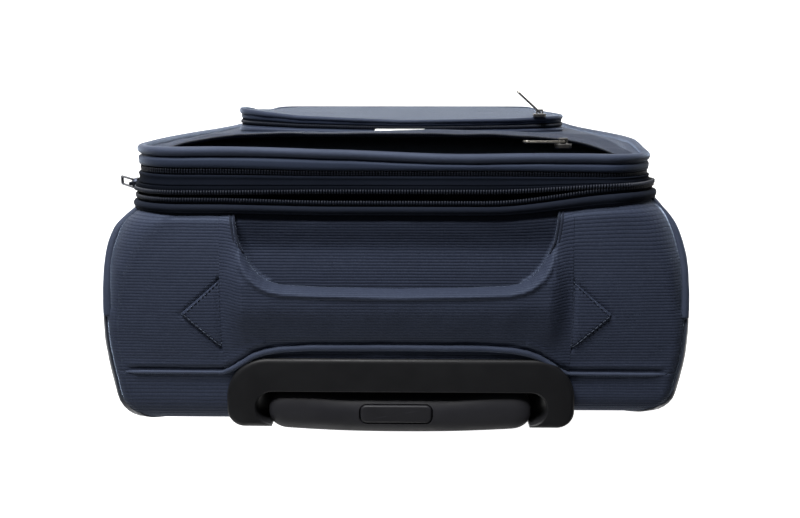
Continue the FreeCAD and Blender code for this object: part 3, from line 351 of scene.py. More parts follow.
def front_shift(x, z, depth):
    """How far the soft rim, ring and lid stand forward of their lines along the top end."""
    x, z, depth = np.broadcast_arrays(np.asarray(x, float), z, depth)
    right = np.interp(depth, SHIFT_DEPTH, SHIFT_RIGHT)
    middle = np.interp(depth, SHIFT_DEPTH, SHIFT_MIDDLE)
    left = np.interp(depth, SHIFT_DEPTH, SHIFT_LEFT)
    to_left = smooth(60, 165, -x)
    to_right = smooth(40, 130, x)
    shift = middle + (left - middle) * to_left + (right - middle) * to_right
    wave = 1.1 * np.cos((x - 88) / 45.0) + 0.7 * np.sin(x / 27.0)
    shift = shift + wave * smooth(174, 181, depth) * (1 - 0.6 * smooth(183.5, 200, depth))
    return shift * smooth(TOP - 95, TOP - 28, z) - lid_drop(z, depth)


def side_shift(x, z, depth):
    """How far the soft front end leans sideways along the top end."""
    x, z, depth = np.broadcast_arrays(np.asarray(x, float), z, depth)
    right = np.interp(depth, [60, 110, 143, 176, 187], [2.0, 2.4, 4.4, 4.4, 3.8])
    left = np.interp(depth, [110, 143, 168, 187], [0.0, 0.0, 1.2, 1.9])
    return (right * smooth(60, 175, -x) + left * smooth(60, 170, x)) * smooth(TOP - 150, TOP - 28, z)


def lid_drop(z, depth):
    """The lid's edge lies lower towards the wheels, where the case is packed less full."""
    return LID_DROP * smooth(60, 420, TOP - np.asarray(z, float)) * smooth(174, 180, depth)


def carried(outline, profile, shift, lean=None):
    """Points of a closed profile of (out, depth) carried round an outline, and their weave coordinates."""
    line, normal, run = outline
    out, depth = np.array(profile, float).T
    x, z = (line[:, None, k] + normal[:, None, k] * out for k in (0, 1))
    at = line[:, None, 0], line[:, None, 1], depth[None]
    points = stack(x + lean(*at) if lean else x, depth + shift(*at), z)
    return points, stack(run[:, None], run_of(loop(np.array(profile, float)))[None, :-1])


def push_out(points, normal, push):
    """Let a band stand out of its outline by an amount at each station."""
    points[..., 0] += normal[:, None, 0] * push[:, None]
    points[..., 2] += normal[:, None, 1] * push[:, None]


def sweep(name, outline, profile, look, body, slot, replaces=(), loose=0.0, seed=1):
    """Closed band along the soft rim: a closed profile of (out, depth) points carried round an outline."""
    line, normal, _ = outline
    points, uv = carried(outline, profile, front_shift, side_shift)
    centre = stack(line[:, 0], np.mean(profile, axis=0)[1], line[:, 1])
    push_out(points, normal, loose * ripple(centre, 22.0, seed))
    return piece(name, points, grid_faces(len(line), len(profile), True, True), look, body, slot,
                 replaces, uv)


def roll_profile(out, back, front, thick, lip):
    """Profile of a fabric roll between two depths, with a flat tongue reaching inwards."""
    middle = (back + front) / 2
    half = (front - back) / 2
    turn = np.linspace(-math.pi / 2, math.pi / 2, 13)
    roll = [(out - thick + thick * math.cos(a), middle + half * math.sin(a)) for a in turn]
    return roll + [(-lip, front - half * 0.25), (-lip, back + half * 0.25)]


def teeth(name, centres, along, out, across, pitch, size, body, offset=0.0, closed=True):
    """Zip teeth set along a line of points; size is (along, across, high) in mm."""
    run = run_of(loop(centres) if closed else centres)
    count = int(run[-1] // pitch)
    at = (np.arange(count) + offset) * (run[-1] / count if closed else pitch)
    at = at[at < run[-1]]

    def along_line(values):
        values = loop(values) if closed else values
        return stack(*(np.interp(at, run, values[:, k]) for k in range(3)))

    p, a, o, c = (along_line(values) for values in (centres, along, out, across))
    long, wide, high = size
    corners = np.array([
        (-0.5, -0.5, 0.0), (0.5, -0.5, 0.0), (0.5, 0.5, 0.0), (-0.5, 0.5, 0.0),
        (-0.5, -0.5, 0.55), (0.5, -0.5, 0.55), (0.5, 0.5, 0.55), (-0.5, 0.5, 0.55),
        (-0.28, -0.36, 1.0), (0.28, -0.36, 1.0), (0.28, 0.36, 1.0), (-0.28, 0.36, 1.0)])
    quads = np.array([(0, 3, 2, 1), (0, 1, 5, 4), (1, 2, 6, 5), (2, 3, 7, 6), (3, 0, 4, 7),
                      (4, 5, 9, 8), (5, 6, 10, 9), (6, 7, 11, 10), (7, 4, 8, 11), (8, 9, 10, 11)])
    v = p[:, None]
    for way, share in ((a, corners[:, :1] * long), (c, corners[:, 1:2] * wide), (o, corners[:, 2:] * high)):
        v = v + way[:, None] * share
    f = quads[None] + (np.arange(len(p)) * len(corners))[:, None, None]
    return piece(name, v, f.reshape(-1, 4), "teeth", body, "zip_tape")


def outline_frame(normal):
    """Directions for the teeth on an outline: along it, out of it and across it."""
    x, z = normal.T
    return stack(-z, 0, x), stack(x, 0, z), stack(0 * x, 1, 0)


def rim_teeth(name, outline, inset, depth, size, body, offset=0.0):
    """Teeth round a rim outline, drawn in by an inset, at one depth."""
    line, normal, _ = outline
    at = line[:, 0], line[:, 1], depth
    x, z = (line - normal * inset).T
    return teeth(name, stack(x + side_shift(*at), depth + front_shift(*at), z), *outline_frame(normal),
                 TOOTH_PITCH, size, body, offset)


def thread(points):
    """Stitches along a line: points and faces of small rounded bars, to be joined into one piece."""
    long, wide, high = STITCH_SIZE
    pts = np.asarray(points, float)
    run = run_of(pts)
    at = np.arange(STITCH_PITCH / 2, run[-1], STITCH_PITCH)

    def sample(s):
        return stack(*(np.interp(s, run, pts[:, k]) for k in range(3)))

    normal = np.array([0.0, 0.0, 1.0])
    middle = sample(at)
    along = unit(sample(at + long / 2) - sample(at - long / 2))
    side = np.cross(normal, along)
    v = []
    for share, w, h in ((-0.5, 0.35, 0.15), (-0.25, 1.0, 0.9), (0.25, 1.0, 0.9), (0.5, 0.35, 0.15)):
        base = middle + along * (share * long)
        for out, rise in ((-wide * w / 2, -0.3), (-wide * w / 4, high * h), (wide * w / 4, high * h),
                          (wide * w / 2, -0.3)):
            v.append(base + side * out + normal * rise)
    quads = [(0, 3, 2, 1), (12, 13, 14, 15)]
    for k in range(3):
        for m in range(4):
            a, b = 4 * k + m, 4 * k + (m + 1) % 4
            quads.append((a, b, b + 4, a + 4))
    f = np.array(quads)[None] + (np.arange(len(at)) * 16)[:, None, None]
    return np.stack(v, 1).reshape(-1, 3), f.reshape(-1, 4)


def joined(sets):
    """Points and faces of several sets as one."""
    starts = np.cumsum([0] + [len(v) for v, _ in sets])
    return np.vstack([v for v, _ in sets]), np.vstack([f + start for (_, f), start in zip(sets, starts)])


def tube_along(points, radius, sides):
    """Round tube along a line of points, with its ends closed by a cap point."""
    pts = np.asarray(points, float)
    tangent = unit(np.gradient(pts, axis=0))
    radius = np.broadcast_to(radius, (len(pts),))
    side = np.cross(tangent[0], (0.0, 0.3, 1.0) if abs(tangent[0][2]) < 0.9 else (1.0, 0.2, 0.0))
    angles = np.linspace(0, 2 * math.pi, sides, endpoint=False)
    rings = []
    for p, t, r in zip(pts, tangent, radius):
        side = side - t * np.dot(side, t)
        side /= np.linalg.norm(side)
        rings.append(p + r * (np.cos(angles)[:, None] * side + np.sin(angles)[:, None] * np.cross(t, side)))
    tips = [pts[0] - tangent[0] * radius[0] * 0.5, pts[-1] + tangent[-1] * radius[-1] * 0.5]
    count = len(pts) * sides
    ends = []
    for row, tip in ((0, count), (len(pts) - 1, count + 1)):
        for k in range(sides):
            ends.append((row * sides + k, row * sides + (k + 1) % sides, tip, tip))
    return np.vstack([*rings, tips]), np.vstack([grid_faces(len(pts), sides, False, True), ends])


# ---------------------------------------------------------------- materials

class Nodes:
    """Shorthand for building a material's node tree."""

    def __init__(self, name):
        self.material = bpy.data.materials.new(name)
        self.material.use_nodes = True
        self.tree = self.material.node_tree
        self.tree.nodes.clear()
        self.out = self.tree.nodes.new("ShaderNodeOutputMaterial")
        self.shader = self.tree.nodes.new("ShaderNodeBsdfPrincipled")
        self.tree.links.new(self.shader.outputs["BSDF"], self.out.inputs["Surface"])

    def new(self, kind, **values):
        node = self.tree.nodes.new(kind)
        for key, value in values.items():
            setattr(node, key, value)
        return node

    def link(self, a, b):
        self.tree.links.new(a, b)

    def put_in(self, socket, value):
        if isinstance(value, bpy.types.NodeSocket):
            self.link(value, socket)
        else:
            socket.default_value = value

    def math(self, operation, a, b=0.0, clamp=False):
        node = self.new("ShaderNodeMath", operation=operation, use_clamp=clamp)
        for socket, value in zip(node.inputs, (a, b)):
            self.put_in(socket, value)
        return node.outputs[0]

    def add(self, a, b):
        return self.math("ADD", a, b)

    def mul(self, a, b):
        return self.math("MULTIPLY", a, b)

    def wave(self, value):
        return self.math("SINE", self.mul(value, math.pi))

    def coordinate(self, kind="Object"):
        return self.new("ShaderNodeTexCoord").outputs[kind]

    def split(self, vector):
        node = self.new("ShaderNodeSeparateXYZ")
        self.link(vector, node.inputs[0])
        return node.outputs

    def join(self, x, y, z=0.0):
        node = self.new("ShaderNodeCombineXYZ")
        for socket, value in zip(node.inputs, (x, y, z)):
            self.put_in(socket, value)
        return node.outputs[0]

    def noise(self, vector, scale, detail=2.0, rough=0.5):
        node = self.new("ShaderNodeTexNoise")
        self.link(vector, node.inputs["Vector"])
        node.inputs["Scale"].default_value = scale
        node.inputs["Detail"].default_value = detail
        node.inputs["Roughness"].default_value = rough
        return node.outputs["Fac"]

    def ramp(self, value, *stops):
        node = self.new("ShaderNodeMapRange", clamp=True)
        (a, low), (b, high) = stops
        self.put_in(node.inputs[0], value)
        for k, number in ((1, a), (2, b), (3, low), (4, high)):
            node.inputs[k].default_value = number
        return node.outputs[0]

    def mix(self, share, a, b):
        node = self.new("ShaderNodeMix", data_type="RGBA")
        self.put_in(node.inputs[0], share)
        for socket, value in ((node.inputs[6], a), (node.inputs[7], b)):
            self.put_in(socket, value if isinstance(value, bpy.types.NodeSocket) else (*value, 1.0))
        return node.outputs[2]

    def bump(self, height, distance):
        node = self.new("ShaderNodeBump")
        node.inputs["Strength"].default_value = 1.0
        node.inputs["Distance"].default_value = distance
        self.link(height, node.inputs["Height"])
        return node.outputs[0]

    def finish(self, color, roughness, normal, **sockets):
        self.put_in(self.shader.inputs["Base Color"], color)
        self.put_in(self.shader.inputs["Roughness"], roughness)
        self.link(normal, self.shader.inputs["Normal"])
        for key, value in sockets.items():
            self.shader.inputs[key.replace("_", " ")].default_value = value
        return self.material


SHEEN = (0.62, 0.76, 1.0, 1.0)


def shade(colour, factor):
    """A colour made lighter or darker."""
    return tuple(min(1.0, c * factor) for c in colour)


def ribbed_cloth(name, colour, pitch=RIB, depth=0.00022, rough=0.72, sheen=0.6, specular=0.25):
    """Ribbed weave: rounded cords that run along u, crossed by fine threads."""
    n = Nodes(name)
    u, v, _ = n.split(n.coordinate("UV"))
    solid = n.coordinate("Object")
    wander = n.mul(n.math("SUBTRACT", n.noise(solid, 60.0, 3.0), 0.5), 0.0005)
    cord = n.math("DIVIDE", n.add(v, wander), pitch * MM)
    rib = n.math("POWER", n.math("ABSOLUTE", n.wave(cord)), 0.6)
    row = n.math("FLOOR", cord)
    cross = n.math("ABSOLUTE", n.wave(n.add(n.math("DIVIDE", u, 0.0011), n.mul(row, 0.5))))
    slub = n.noise(n.join(n.mul(u, 160.0), n.mul(row, 1.7)), 1.0, 2.0)
    height = n.add(n.add(rib, n.mul(cross, 0.22)), n.mul(slub, 0.15))
    patch = n.noise(solid, 14.0, 3.0)
    fine = n.noise(solid, 900.0, 2.0)
    # Cord valleys are painted darker and cord tops lighter: painted shade in the hollows of the weave and
    # painted light on its ridges.
    base = n.mix(n.add(n.mul(rib, 0.75), n.mul(cross, 0.25)), shade(colour, 0.6), shade(colour, 1.18))
    base = n.mix(n.ramp(patch, (0.3, 0.0), (0.75, 0.35)), base, shade(colour, 0.62))
    base = n.mix(n.ramp(slub, (0.35, 0.0), (0.8, 0.2)), base, shade(colour, 1.5))
    base = n.mix(n.ramp(fine, (0.45, 0.0), (0.8, 0.05)), base, (0.25, 0.29, 0.38))
    roughness = n.ramp(rib, (0.0, min(1.0, rough + 0.12)), (1.0, rough - 0.1))
    return n.finish(base, roughness, n.bump(height, depth), Sheen_Weight=sheen, Sheen_Roughness=0.3,
                    Sheen_Tint=SHEEN, Specular_Tint=SHEEN, Specular_IOR_Level=specular)


def plain_cloth(name, colour, thread_mm=0.55, rough=0.82, sheen=0.3, uv=True, specular=0.25):
    """Close plain weave of crossing threads."""
    n = Nodes(name)
    solid = n.coordinate("Object")
    u, v, _ = n.split(n.coordinate("UV") if uv else solid)
    check = n.mul(*(n.math("SINE", n.mul(side, math.pi / (thread_mm * MM))) for side in (u, v)))
    over = n.ramp(check, (-1.0, 0.0), (1.0, 1.0))
    patch = n.noise(solid, 22.0, 3.0)
    fluff = n.noise(solid, 700.0, 3.0)
    # Threads that lie on top are painted lighter and those beneath darker: painted light and shade of the
    # weave.
    base = n.mix(over, shade(colour, 0.65), shade(colour, 1.35))
    base = n.mix(n.ramp(patch, (0.3, 0.0), (0.75, 0.4)), base, shade(colour, 0.7))
    base = n.mix(n.ramp(fluff, (0.5, 0.0), (0.85, 0.25)), base, shade(colour, 2.2))
    roughness = n.ramp(patch, (0.2, rough - 0.08), (0.8, min(1.0, rough + 0.08)))
    return n.finish(base, roughness, n.bump(n.add(over, n.mul(fluff, 0.5)), 0.00012), Sheen_Weight=sheen,
                    Sheen_Roughness=0.35, Sheen_Tint=SHEEN, Specular_Tint=SHEEN, Specular_IOR_Level=specular)


def moulded_plastic(name, colour, rough=0.45, grain=0.00006, grain_scale=1400.0, wear=0.35, specular=0.45):
    """Moulded plastic with a fine grain, faint marks and edges rubbed lighter."""
    n = Nodes(name)
    solid = n.coordinate("Object")
    grains = n.noise(solid, grain_scale, 2.0)
    marks = n.noise(solid, 45.0, 5.0, 0.65)
    point = n.new("ShaderNodeNewGeometry").outputs["Pointiness"]
    edge = n.ramp(point, (0.53, 0.0), (0.62, wear))
    base = n.mix(n.ramp(marks, (0.35, 0.0), (0.75, 0.5)), shade(colour, 0.85), shade(colour, 1.25))
    base = n.mix(edge, base, shade(colour, 2.4))
    roughness = n.math("ADD", n.ramp(marks, (0.3, rough - 0.07), (0.7, rough + 0.07)), n.mul(grains, 0.1),
                       clamp=True)
    return n.finish(base, roughness, n.bump(grains, grain), Specular_IOR_Level=specular)


def worn_metal(name, colour, rough=0.3, brushed=True, dark=0.55):
    """Plated or brushed metal with fine scratches and dull patches."""
    n = Nodes(name)
    solid = n.coordinate("Object")
    x, y, z = n.split(solid)
    lines = n.noise(n.join(n.mul(x, 900.0), n.mul(y, 900.0), n.mul(z, 60.0 if brushed else 900.0)), 1.0, 3.0)
    dull = n.noise(solid, 120.0, 4.0)
    base = n.mix(n.ramp(dull, (0.35, 0.0), (0.7, 1.0)), colour, shade(colour, dark))
    roughness = n.math("ADD", n.ramp(dull, (0.3, rough - 0.08), (0.8, rough + 0.14)), n.mul(lines, 0.12),
                       clamp=True)
    return n.finish(base, roughness, n.bump(lines, 0.00003), Metallic=1.0)


def tyre_rubber(name, colour):
    """Dull rubber, scuffed and dusty on its tread."""
    n = Nodes(name)
    solid = n.coordinate("Object")
    scuff = n.noise(solid, 160.0, 6.0, 0.7)
    fine = n.noise(solid, 1800.0, 2.0)
    base = n.mix(n.ramp(scuff, (0.4, 0.0), (0.8, 0.7)), colour, shade(colour, 3.0))
    height = n.add(scuff, n.mul(fine, 0.3))
    return n.finish(base, n.ramp(scuff, (0.3, 0.7), (0.7, 0.92)), n.bump(height, 0.0001),
                    Specular_IOR_Level=0.3)


NAVY = (0.0212, 0.0262, 0.0455)
MATERIALS = {
    "rib": ribbed_cloth("rib_cloth", NAVY),
    "rib_face": ribbed_cloth("rib_cloth_face", NAVY, sheen=0.9, rough=0.6, specular=0.5),
    # A darker copy of the body's ribbed cloth for the lid's front and the upper flap: painted shade, as these
    # faces turn away from the light.
    "rib_shaded": ribbed_cloth("rib_cloth_shaded", shade(NAVY, 0.72), sheen=0.3, specular=0.05),
    "rib_pad": ribbed_cloth("rib_cloth_pad", NAVY, pitch=2.2, sheen=0.2),
    "band": plain_cloth("band_cloth", (0.0175, 0.0230, 0.0420), rough=0.65),
    # Piping is lighter than the body cloth: partly its own tone, partly painted light standing in for the lit
    # tops of the rolls and welts.
    "piping": plain_cloth("piping_cloth_lit", (0.033, 0.040, 0.065), thread_mm=0.7, rough=0.6, sheen=0.5),
    # Dark navy band along the front seam, darkened further as painted shade from the lid's overhang.
    "seam": plain_cloth("seam_cloth_shaded", (0.0085, 0.0105, 0.017), thread_mm=0.7, sheen=0.05, specular=0.08),
    # Ring, zip tapes and expander folds are dark cloth, darkened further as painted shade in the narrow gaps
    # between the rolls round the front.
    "ring": plain_cloth("ring_cloth_shaded", (0.0058, 0.0074, 0.0125), thread_mm=0.7, sheen=0.0, specular=0.05),
    "tape": plain_cloth("zip_tape_cloth_shaded", (0.003, 0.0038, 0.0064), thread_mm=0.8, sheen=0.0, specular=0.03),
    "gusset": plain_cloth("gusset_cloth_shaded", (0.005, 0.0062, 0.0105), thread_mm=0.6, sheen=0.0, specular=0.03),
    "web": ribbed_cloth("strap_web", (0.026, 0.031, 0.046), pitch=1.6, depth=0.00025),
    "lining": plain_cloth("lining_cloth", (0.10, 0.105, 0.12), thread_mm=0.4, uv=False),
    "teeth": moulded_plastic("zip_teeth", (0.0085, 0.0105, 0.0165), rough=0.42, wear=0.35, specular=0.22,
                             grain_scale=3000.0),
    "thread_dark": plain_cloth("thread_dark", (0.012, 0.014, 0.024), thread_mm=0.3, uv=False),
    "thread_pale": plain_cloth("thread_pale", (0.05, 0.058, 0.080), thread_mm=0.3, uv=False),
    "pvc": moulded_plastic("edge_guard", (0.034, 0.040, 0.056), rough=0.28, grain=0.00003, wear=0.3),
    "black": moulded_plastic("black_plastic", (0.0068, 0.0070, 0.0082), rough=0.46, specular=0.26),
    "grip": moulded_plastic("grip_plastic", (0.014, 0.014, 0.0178), rough=0.52, grain=0.00005, specular=0.33),
    "button": moulded_plastic("button_plastic", (0.0118, 0.0118, 0.0150), rough=0.50, specular=0.33),
    "hub": moulded_plastic("hub_plastic", (0.030, 0.030, 0.033), rough=0.4),
    "board": moulded_plastic("board_plastic", (0.05, 0.05, 0.055), rough=0.6),
    "tube": worn_metal("tube_metal", (0.60, 0.61, 0.63), rough=0.34, dark=0.86),
    "steel": worn_metal("spring_steel", (0.45, 0.45, 0.46), rough=0.3),
    "nickel": worn_metal("pull_metal", (0.50, 0.47, 0.42), rough=0.24, brushed=False),
    "slider": worn_metal("slider_metal", (0.16, 0.155, 0.15), rough=0.30, brushed=False),
    "dark_pull": worn_metal("dark_pull_metal", (0.045, 0.050, 0.068), rough=0.35, brushed=False),
    "badge": worn_metal("badge_metal", (0.80, 0.81, 0.79), rough=0.3, dark=0.88),
    "tyre": tyre_rubber("wheel_rubber", (0.014, 0.014, 0.015)),
}


# ---------------------------------------------------------------- case body

def side_half(depth):
    """Half width of the bulging body at a depth."""
    depth = np.asarray(depth, float)
    past = np.abs(depth - BULGE_DEPTH) / (BODY_DEPTH - BULGE_DEPTH)
    ahead = BULGE_HALF - (BULGE_HALF - RIM_HALF) * past ** 4.5
    behind = BULGE_HALF - (BULGE_HALF - BACK_HALF) * ((BULGE_DEPTH - depth) / BULGE_DEPTH) ** 2
    return np.where(depth > BULGE_DEPTH, ahead, behind)


def back_inset(depth):
    """How far the rounded back edge draws the outline in."""
    gap = np.clip(BACK_ROUND - np.asarray(depth, float), 0, BACK_ROUND)
    return BACK_ROUND - np.sqrt(BACK_ROUND ** 2 - gap ** 2)


def back_lean(x, z, depth):
    """How far the back edge's left end, near the top, stands behind the rest."""
    return BACK_LEAN * smooth(20, 110, x) * (1 - smooth(0, 30, depth)) * smooth(TOP - 150, TOP - 10, z)


def corner_r(depth):
    """Corner radius seen from the front."""
    share = np.clip((np.asarray(depth, float) - BACK_WRAP) / (BODY_DEPTH - BACK_WRAP), 0, 1)
    return EDGE_R + (RIM_R - EDGE_R) * share ** 2.6


SEAM_MID = 50.0
SCOOP_FLOOR = 8.0
STITCH_X = 120.0
TRI_X = 147.0
TAB_MID = 74.0
TAB_HALF = 24.0
TOP_STEPS = 230
CORNER_STEPS = 12
CUP_ROUND = 29.5
CUP_LAP = 3.0
GUARD_FRONT = 76.0
GUARD_DOWN = 19.0
GUARD_TAIL = 105.0
GUARD_PASSES = 14
PIPE_SIDES = 12
CENTRE = Vector((0, BACK - 70 * MM, MIDDLE * MM))
SEAM_X = [0, 60, 80, 90, 98, 106, 113, 120, 210]
SEAM_D = [50.3, 50.0, 48.6, 46.6, 43.6, 38.6, 34.0, 31.2, 30.6]
EDGE_X = [0, 50, 76, 84, 89.2, 93.5, 97.8, 102, 106.4, 107.6, 108.5, 110]
EDGE_D = [92, 93, 94.2, 96, 98.6, 102.4, 107.4, 115, 125, 132, 138.5, 146]


def back_seam(x):
    """Depth of the seam between the back panel and the top end, which swings forward round the cup."""
    return np.interp(np.abs(x), SEAM_X, SEAM_D)


def scoop_edge(x):
    """Depth of the pad's front edge, which runs on into the horns up to the front seam."""
    return np.interp(np.abs(x), EDGE_X, EDGE_D)


def horn(depth):
    """Half width of the recess at a depth."""
    return np.where(np.asarray(depth) < EDGE_D[3], EDGE_X[3], np.interp(depth, EDGE_D, EDGE_X))


def recess_share(x, depth):
    """Share from 0 to 1 of how far the recess is sunk at a point."""
    inside = smooth(-6.0, -1.5, horn(depth) - np.abs(x))
    return inside * smooth(SEAM_MID + 3, SEAM_MID + 9, depth) * (1 - 0.6 * smooth(116, FRONT_SEAM, depth))


def rounded_gap(x, depth):
    """How far inside the cup's plan, with its rounded front corners, a point of the top end lies."""
    front = CUP[1][1]
    x = np.abs(np.asarray(x, float) - CUP_SIDE)
    in_corner = CUP_ROUND - np.hypot(np.maximum(x - (CUP_HALF - CUP_ROUND), 0),
                                     np.maximum(depth - (front - CUP_ROUND), 0))
    return np.minimum(np.minimum(CUP_HALF - x, front - depth), in_corner)


def crown(x, depth):
    """Pillow of the padded top end."""
    along = np.clip((depth - CROWN_BACK) / (FRONT_SEAM - CROWN_BACK), 0, 1)
    lift = np.clip(np.sin(np.pi * along), 0, 1) ** 0.7
    return CROWN_HIGH * (1 - (np.abs(x) / side_half(depth)) ** 4) * lift


def tuck(depth):
    """How far the cloth dips where it is sewn to the front seam."""
    return -3.0 * smooth(137, 143.5, depth)


def top_relief(x, depth):
    """How far the top end's cloth stands out of the body's form."""
    a = np.abs(x)
    recess = -(SCOOP_FLOOR + 1.5) * recess_share(x, depth)
    gap = depth - back_seam(x)
    inner = (1 - 0.5 * smooth(106, 124, a)) * (1 - smooth(183, 189, a))
    steep = 1 + 0.5 * smooth(84, 92, a) * (1 - smooth(114, 121, a))
    groove = inner * (-1.9 * bump(3.2, 2.2 * steep, gap) + 0.8 * bump(7.0, 2.9 * steep, gap))
    stitched = -1.3 * bump(STITCH_X, 2.2, a) * smooth(46, 50, depth) * (1 - smooth(97, 103, depth))
    reach = TAB_HALF * (1 - (a - STITCH_X) / (TRI_X - STITCH_X))
    on_tab = (a > STITCH_X - 1) & (a < TRI_X + 2)
    edge = -0.9 * bump(0.0, 2.4, reach - np.abs(depth - TAB_MID)) * on_tab
    return crown(x, depth) + tuck(depth) + recess + groove + stitched + edge


def seam_angle(depth):
    """Angle up from sideways at which a side seam runs round the rounded corner."""
    return 44.0 - 20.0 * smooth(BACK_WRAP, BODY_DEPTH, depth)


def corner_turn(kind, t, depth):
    """Angle round a corner: the seam is always half way along its stations."""
    seam = seam_angle(depth)
    if kind in ("c_tl", "c_br"):
        up = np.where(t < 0.5, 90 - (90 - seam) * 2 * t, seam * (2 - 2 * t))
        return np.radians((180 if kind == "c_tl" else 360) - up)
    up = np.where(t < 0.5, seam * 2 * t, seam + (90 - seam) * (2 * t - 1))
    return np.radians((180 if kind == "c_bl" else 0) + up)


def body_places():
    """Stations round the case's outline: which stretch each is on and how far along it."""
    stations = [("top", -u) for u in np.linspace(-1, 1, TOP_STEPS + 1)[:-1]]
    for corner, side, start, count in (("c_tl", "left", 1, 80), ("c_bl", "bottom", -1, 60),
                                       ("c_br", "right", -1, 80), ("c_tr", "", 0, 0)):
        stations += [(corner, k / CORNER_STEPS) for k in range(CORNER_STEPS)]
        stations += [(side, u) for u in np.linspace(start, -start, count + 1)[:-1]]
    return stations


CORNER_PANELS = {"c_tl": ("top", "left"), "c_bl": ("left", "bottom"), "c_br": ("bottom", "right"),
                 "c_tr": ("right", "top")}


def body_grid():
    """The body's cloth: stations round the outline by rows from back to front, with its panels."""
    rows_d = np.concatenate([BACK_ROUND * (1 - np.cos(np.linspace(0, math.pi / 2, 9)))[:-1],
                             np.linspace(BACK_ROUND, BODY_DEPTH - 7, 130),
                             np.linspace(BODY_DEPTH - 6, BODY_DEPTH + 0.6, 8)])
    stations = body_places()
    shrink = back_inset(rows_d)
    half = side_half(rows_d) - shrink
    high = TOP - shrink
    low = LOW + shrink
    radius = corner_r(rows_d)
    wide = half - radius
    tall = (high - low) / 2 - radius
    mid = (high + low) / 2
    columns = []
    for kind, t in stations:
        if kind in ("top", "bottom"):
            up = 1.0 if kind == "top" else -1.0
            x, z, nx, nz = t * wide, high if up > 0 else low, 0.0, up
        elif kind in ("left", "right"):
            nx = -1.0 if kind == "left" else 1.0
            x, z, nz = nx * half, mid + t * tall, 0.0
        else:
            angle = corner_turn(kind, t, rows_d)
            nx, nz = np.cos(angle), np.sin(angle)
            x = (wide if kind in ("c_tr", "c_br") else -wide) + radius * nx
            z = mid + (tall if kind in ("c_tr", "c_tl") else -tall) + radius * nz
        columns.append(stack(x, rows_d, z, nx, nz))
    return np.array(columns), stations, rows_d


def build_body():
    """Cloth panels of the case: top end, bottom, two sides and back, each with its own thickness."""
    grid, stations, rows_d = body_grid()
    kinds = [k for k, _ in stations]
    count, rows = grid.shape[:2]
    x, depth, z, nx, nz = (grid[..., k] for k in range(5))
    is_top, under, left, right = (np.array([k == word for k in kinds])[:, None]
                                  for word in ("top", "bottom", "left", "right"))
    side = left | right
    relief = np.where(is_top, top_relief(x, depth), 0.0)
    for k in range(CORNER_STEPS):
        relief[TOP_STEPS + k] = top_relief(x[TOP_STEPS], depth[TOP_STEPS]) * (1 - k / CORNER_STEPS)
        relief[count - 1 - k] = relief[0] * (1 - (k + 1) / (CORNER_STEPS + 1))
    belly = np.sin(np.pi * np.clip((depth - 6) / (FRONT_SEAM - 6), 0, 1))
    relief = relief + np.where(side, 1.8 * belly * (1 - ((z - MIDDLE) / 254) ** 2), 0.0)
    relief = relief + np.where(under, 1.2 * np.sin(np.pi * np.clip(depth / FRONT_SEAM, 0, 1)), 0.0)
    relief = relief + np.where(side | under, tuck(depth), 0.0)
    # the side seams draw the cloth in between the guards and the rim
    seam_gap = np.array([abs(t - 0.5) * 2 if k[0] == "c" else 9.0 for k, t in stations])[:, None]
    seam_start = np.where(z > MIDDLE, smooth(GUARD_FRONT - 4, GUARD_FRONT + 2, depth), smooth(4, 8, depth))
    relief = relief - 1.5 * bump(0.0, 0.9, seam_gap) * seam_start * (1 - smooth(118, 138, depth))
    pts = stack(x, depth, z)
    slack = (0.55 * ripple(pts, 34.0, 3) + 0.25 * ripple(pts, 13.0, 5)) * np.where(is_top, 0.55, 1.0)
    relief = relief + slack * smooth(2, 14, depth)
    pts[..., 0] += nx * relief
    pts[..., 2] += nz * relief
    pts[..., 1] += front_shift(x, z, depth) - back_lean(x, z, depth)
    pts[..., 0] += side_shift(x, z, depth)
    # weave: run round the case along u, depth along v
    run = run_of(loop(pts[:, rows // 2]))[:-1]
    uv = stack(run[:, None], run_of(stack(rows_d, back_inset(rows_d)))[None, :])
    panel = np.empty((count, rows), object)
    for i, (kind, t) in enumerate(stations):
        name = CORNER_PANELS[kind][int(t >= 0.5)] if kind in CORNER_PANELS else kind
        panel[i] = name
        if name in ("top", "bottom"):
            panel[i, depth[i] < (back_seam(x[i]) if kind == "top" else BACK_WRAP)] = "back"
    in_cup = (is_top & (rounded_gap(x, depth) > CUP_LAP)).reshape(-1)
    faces = grid_faces(count, rows, True, False)
    faces = faces[~in_cup[faces].all(1)]
    owners = panel.reshape(-1)[faces[:, 0]]
    # back face: rings that shrink from the first row to the middle
    shares = np.concatenate([[1.0], np.linspace(0.985, 0.7, 20), np.linspace(0.68, 0.0, 18)])
    back = []
    for share in shares:
        p = pts[:, 0].copy()
        p[:, 0] *= share
        p[:, 2] = MIDDLE + (p[:, 2] - MIDDLE) * share
        pad = 0.9 * math.sin(math.pi * min(1.0, (1 - share) * 4)) * (share > 0.6)
        p[:, 1] = pad - back_lean(p[:, 0], p[:, 2], 0.0)
        back.append(p)
    back = np.array(back)
    in_cup = (np.abs(back[..., 0] - CUP_SIDE) < CUP_HALF - CUP_LAP) & (back[..., 2] > CUP[2][0] + CUP_LAP)
    back_faces = grid_faces(len(shares), count, False, True)
    back_faces = back_faces[~in_cup.reshape(-1)[back_faces].all(1)] + count * rows
    all_pts = np.vstack([pts.reshape(-1, 3), back.reshape(-1, 3)])
    all_uv = np.vstack([uv.reshape(-1, 2), back[..., ::2].reshape(-1, 2)])
    for key, name in (("top", "end_cover"), ("bottom", "bottom_cover"), ("left", "left_side_cover"),
                      ("right", "right_side_cover")):
        add_cloth(name, all_pts, faces[owners == key], all_uv, key + "_panel")
    add_cloth("back_cover", all_pts, np.vstack([faces[owners == "back"], back_faces]), all_uv, "back_panel")
    # what the guards are cut from: three rings of the back, then the body's rows
    edge_rows = np.transpose(back[[3, 2, 1]], (1, 0, 2))
    return np.concatenate([edge_rows, pts], 1), np.concatenate([[0, 0, 0], rows_d]), stations


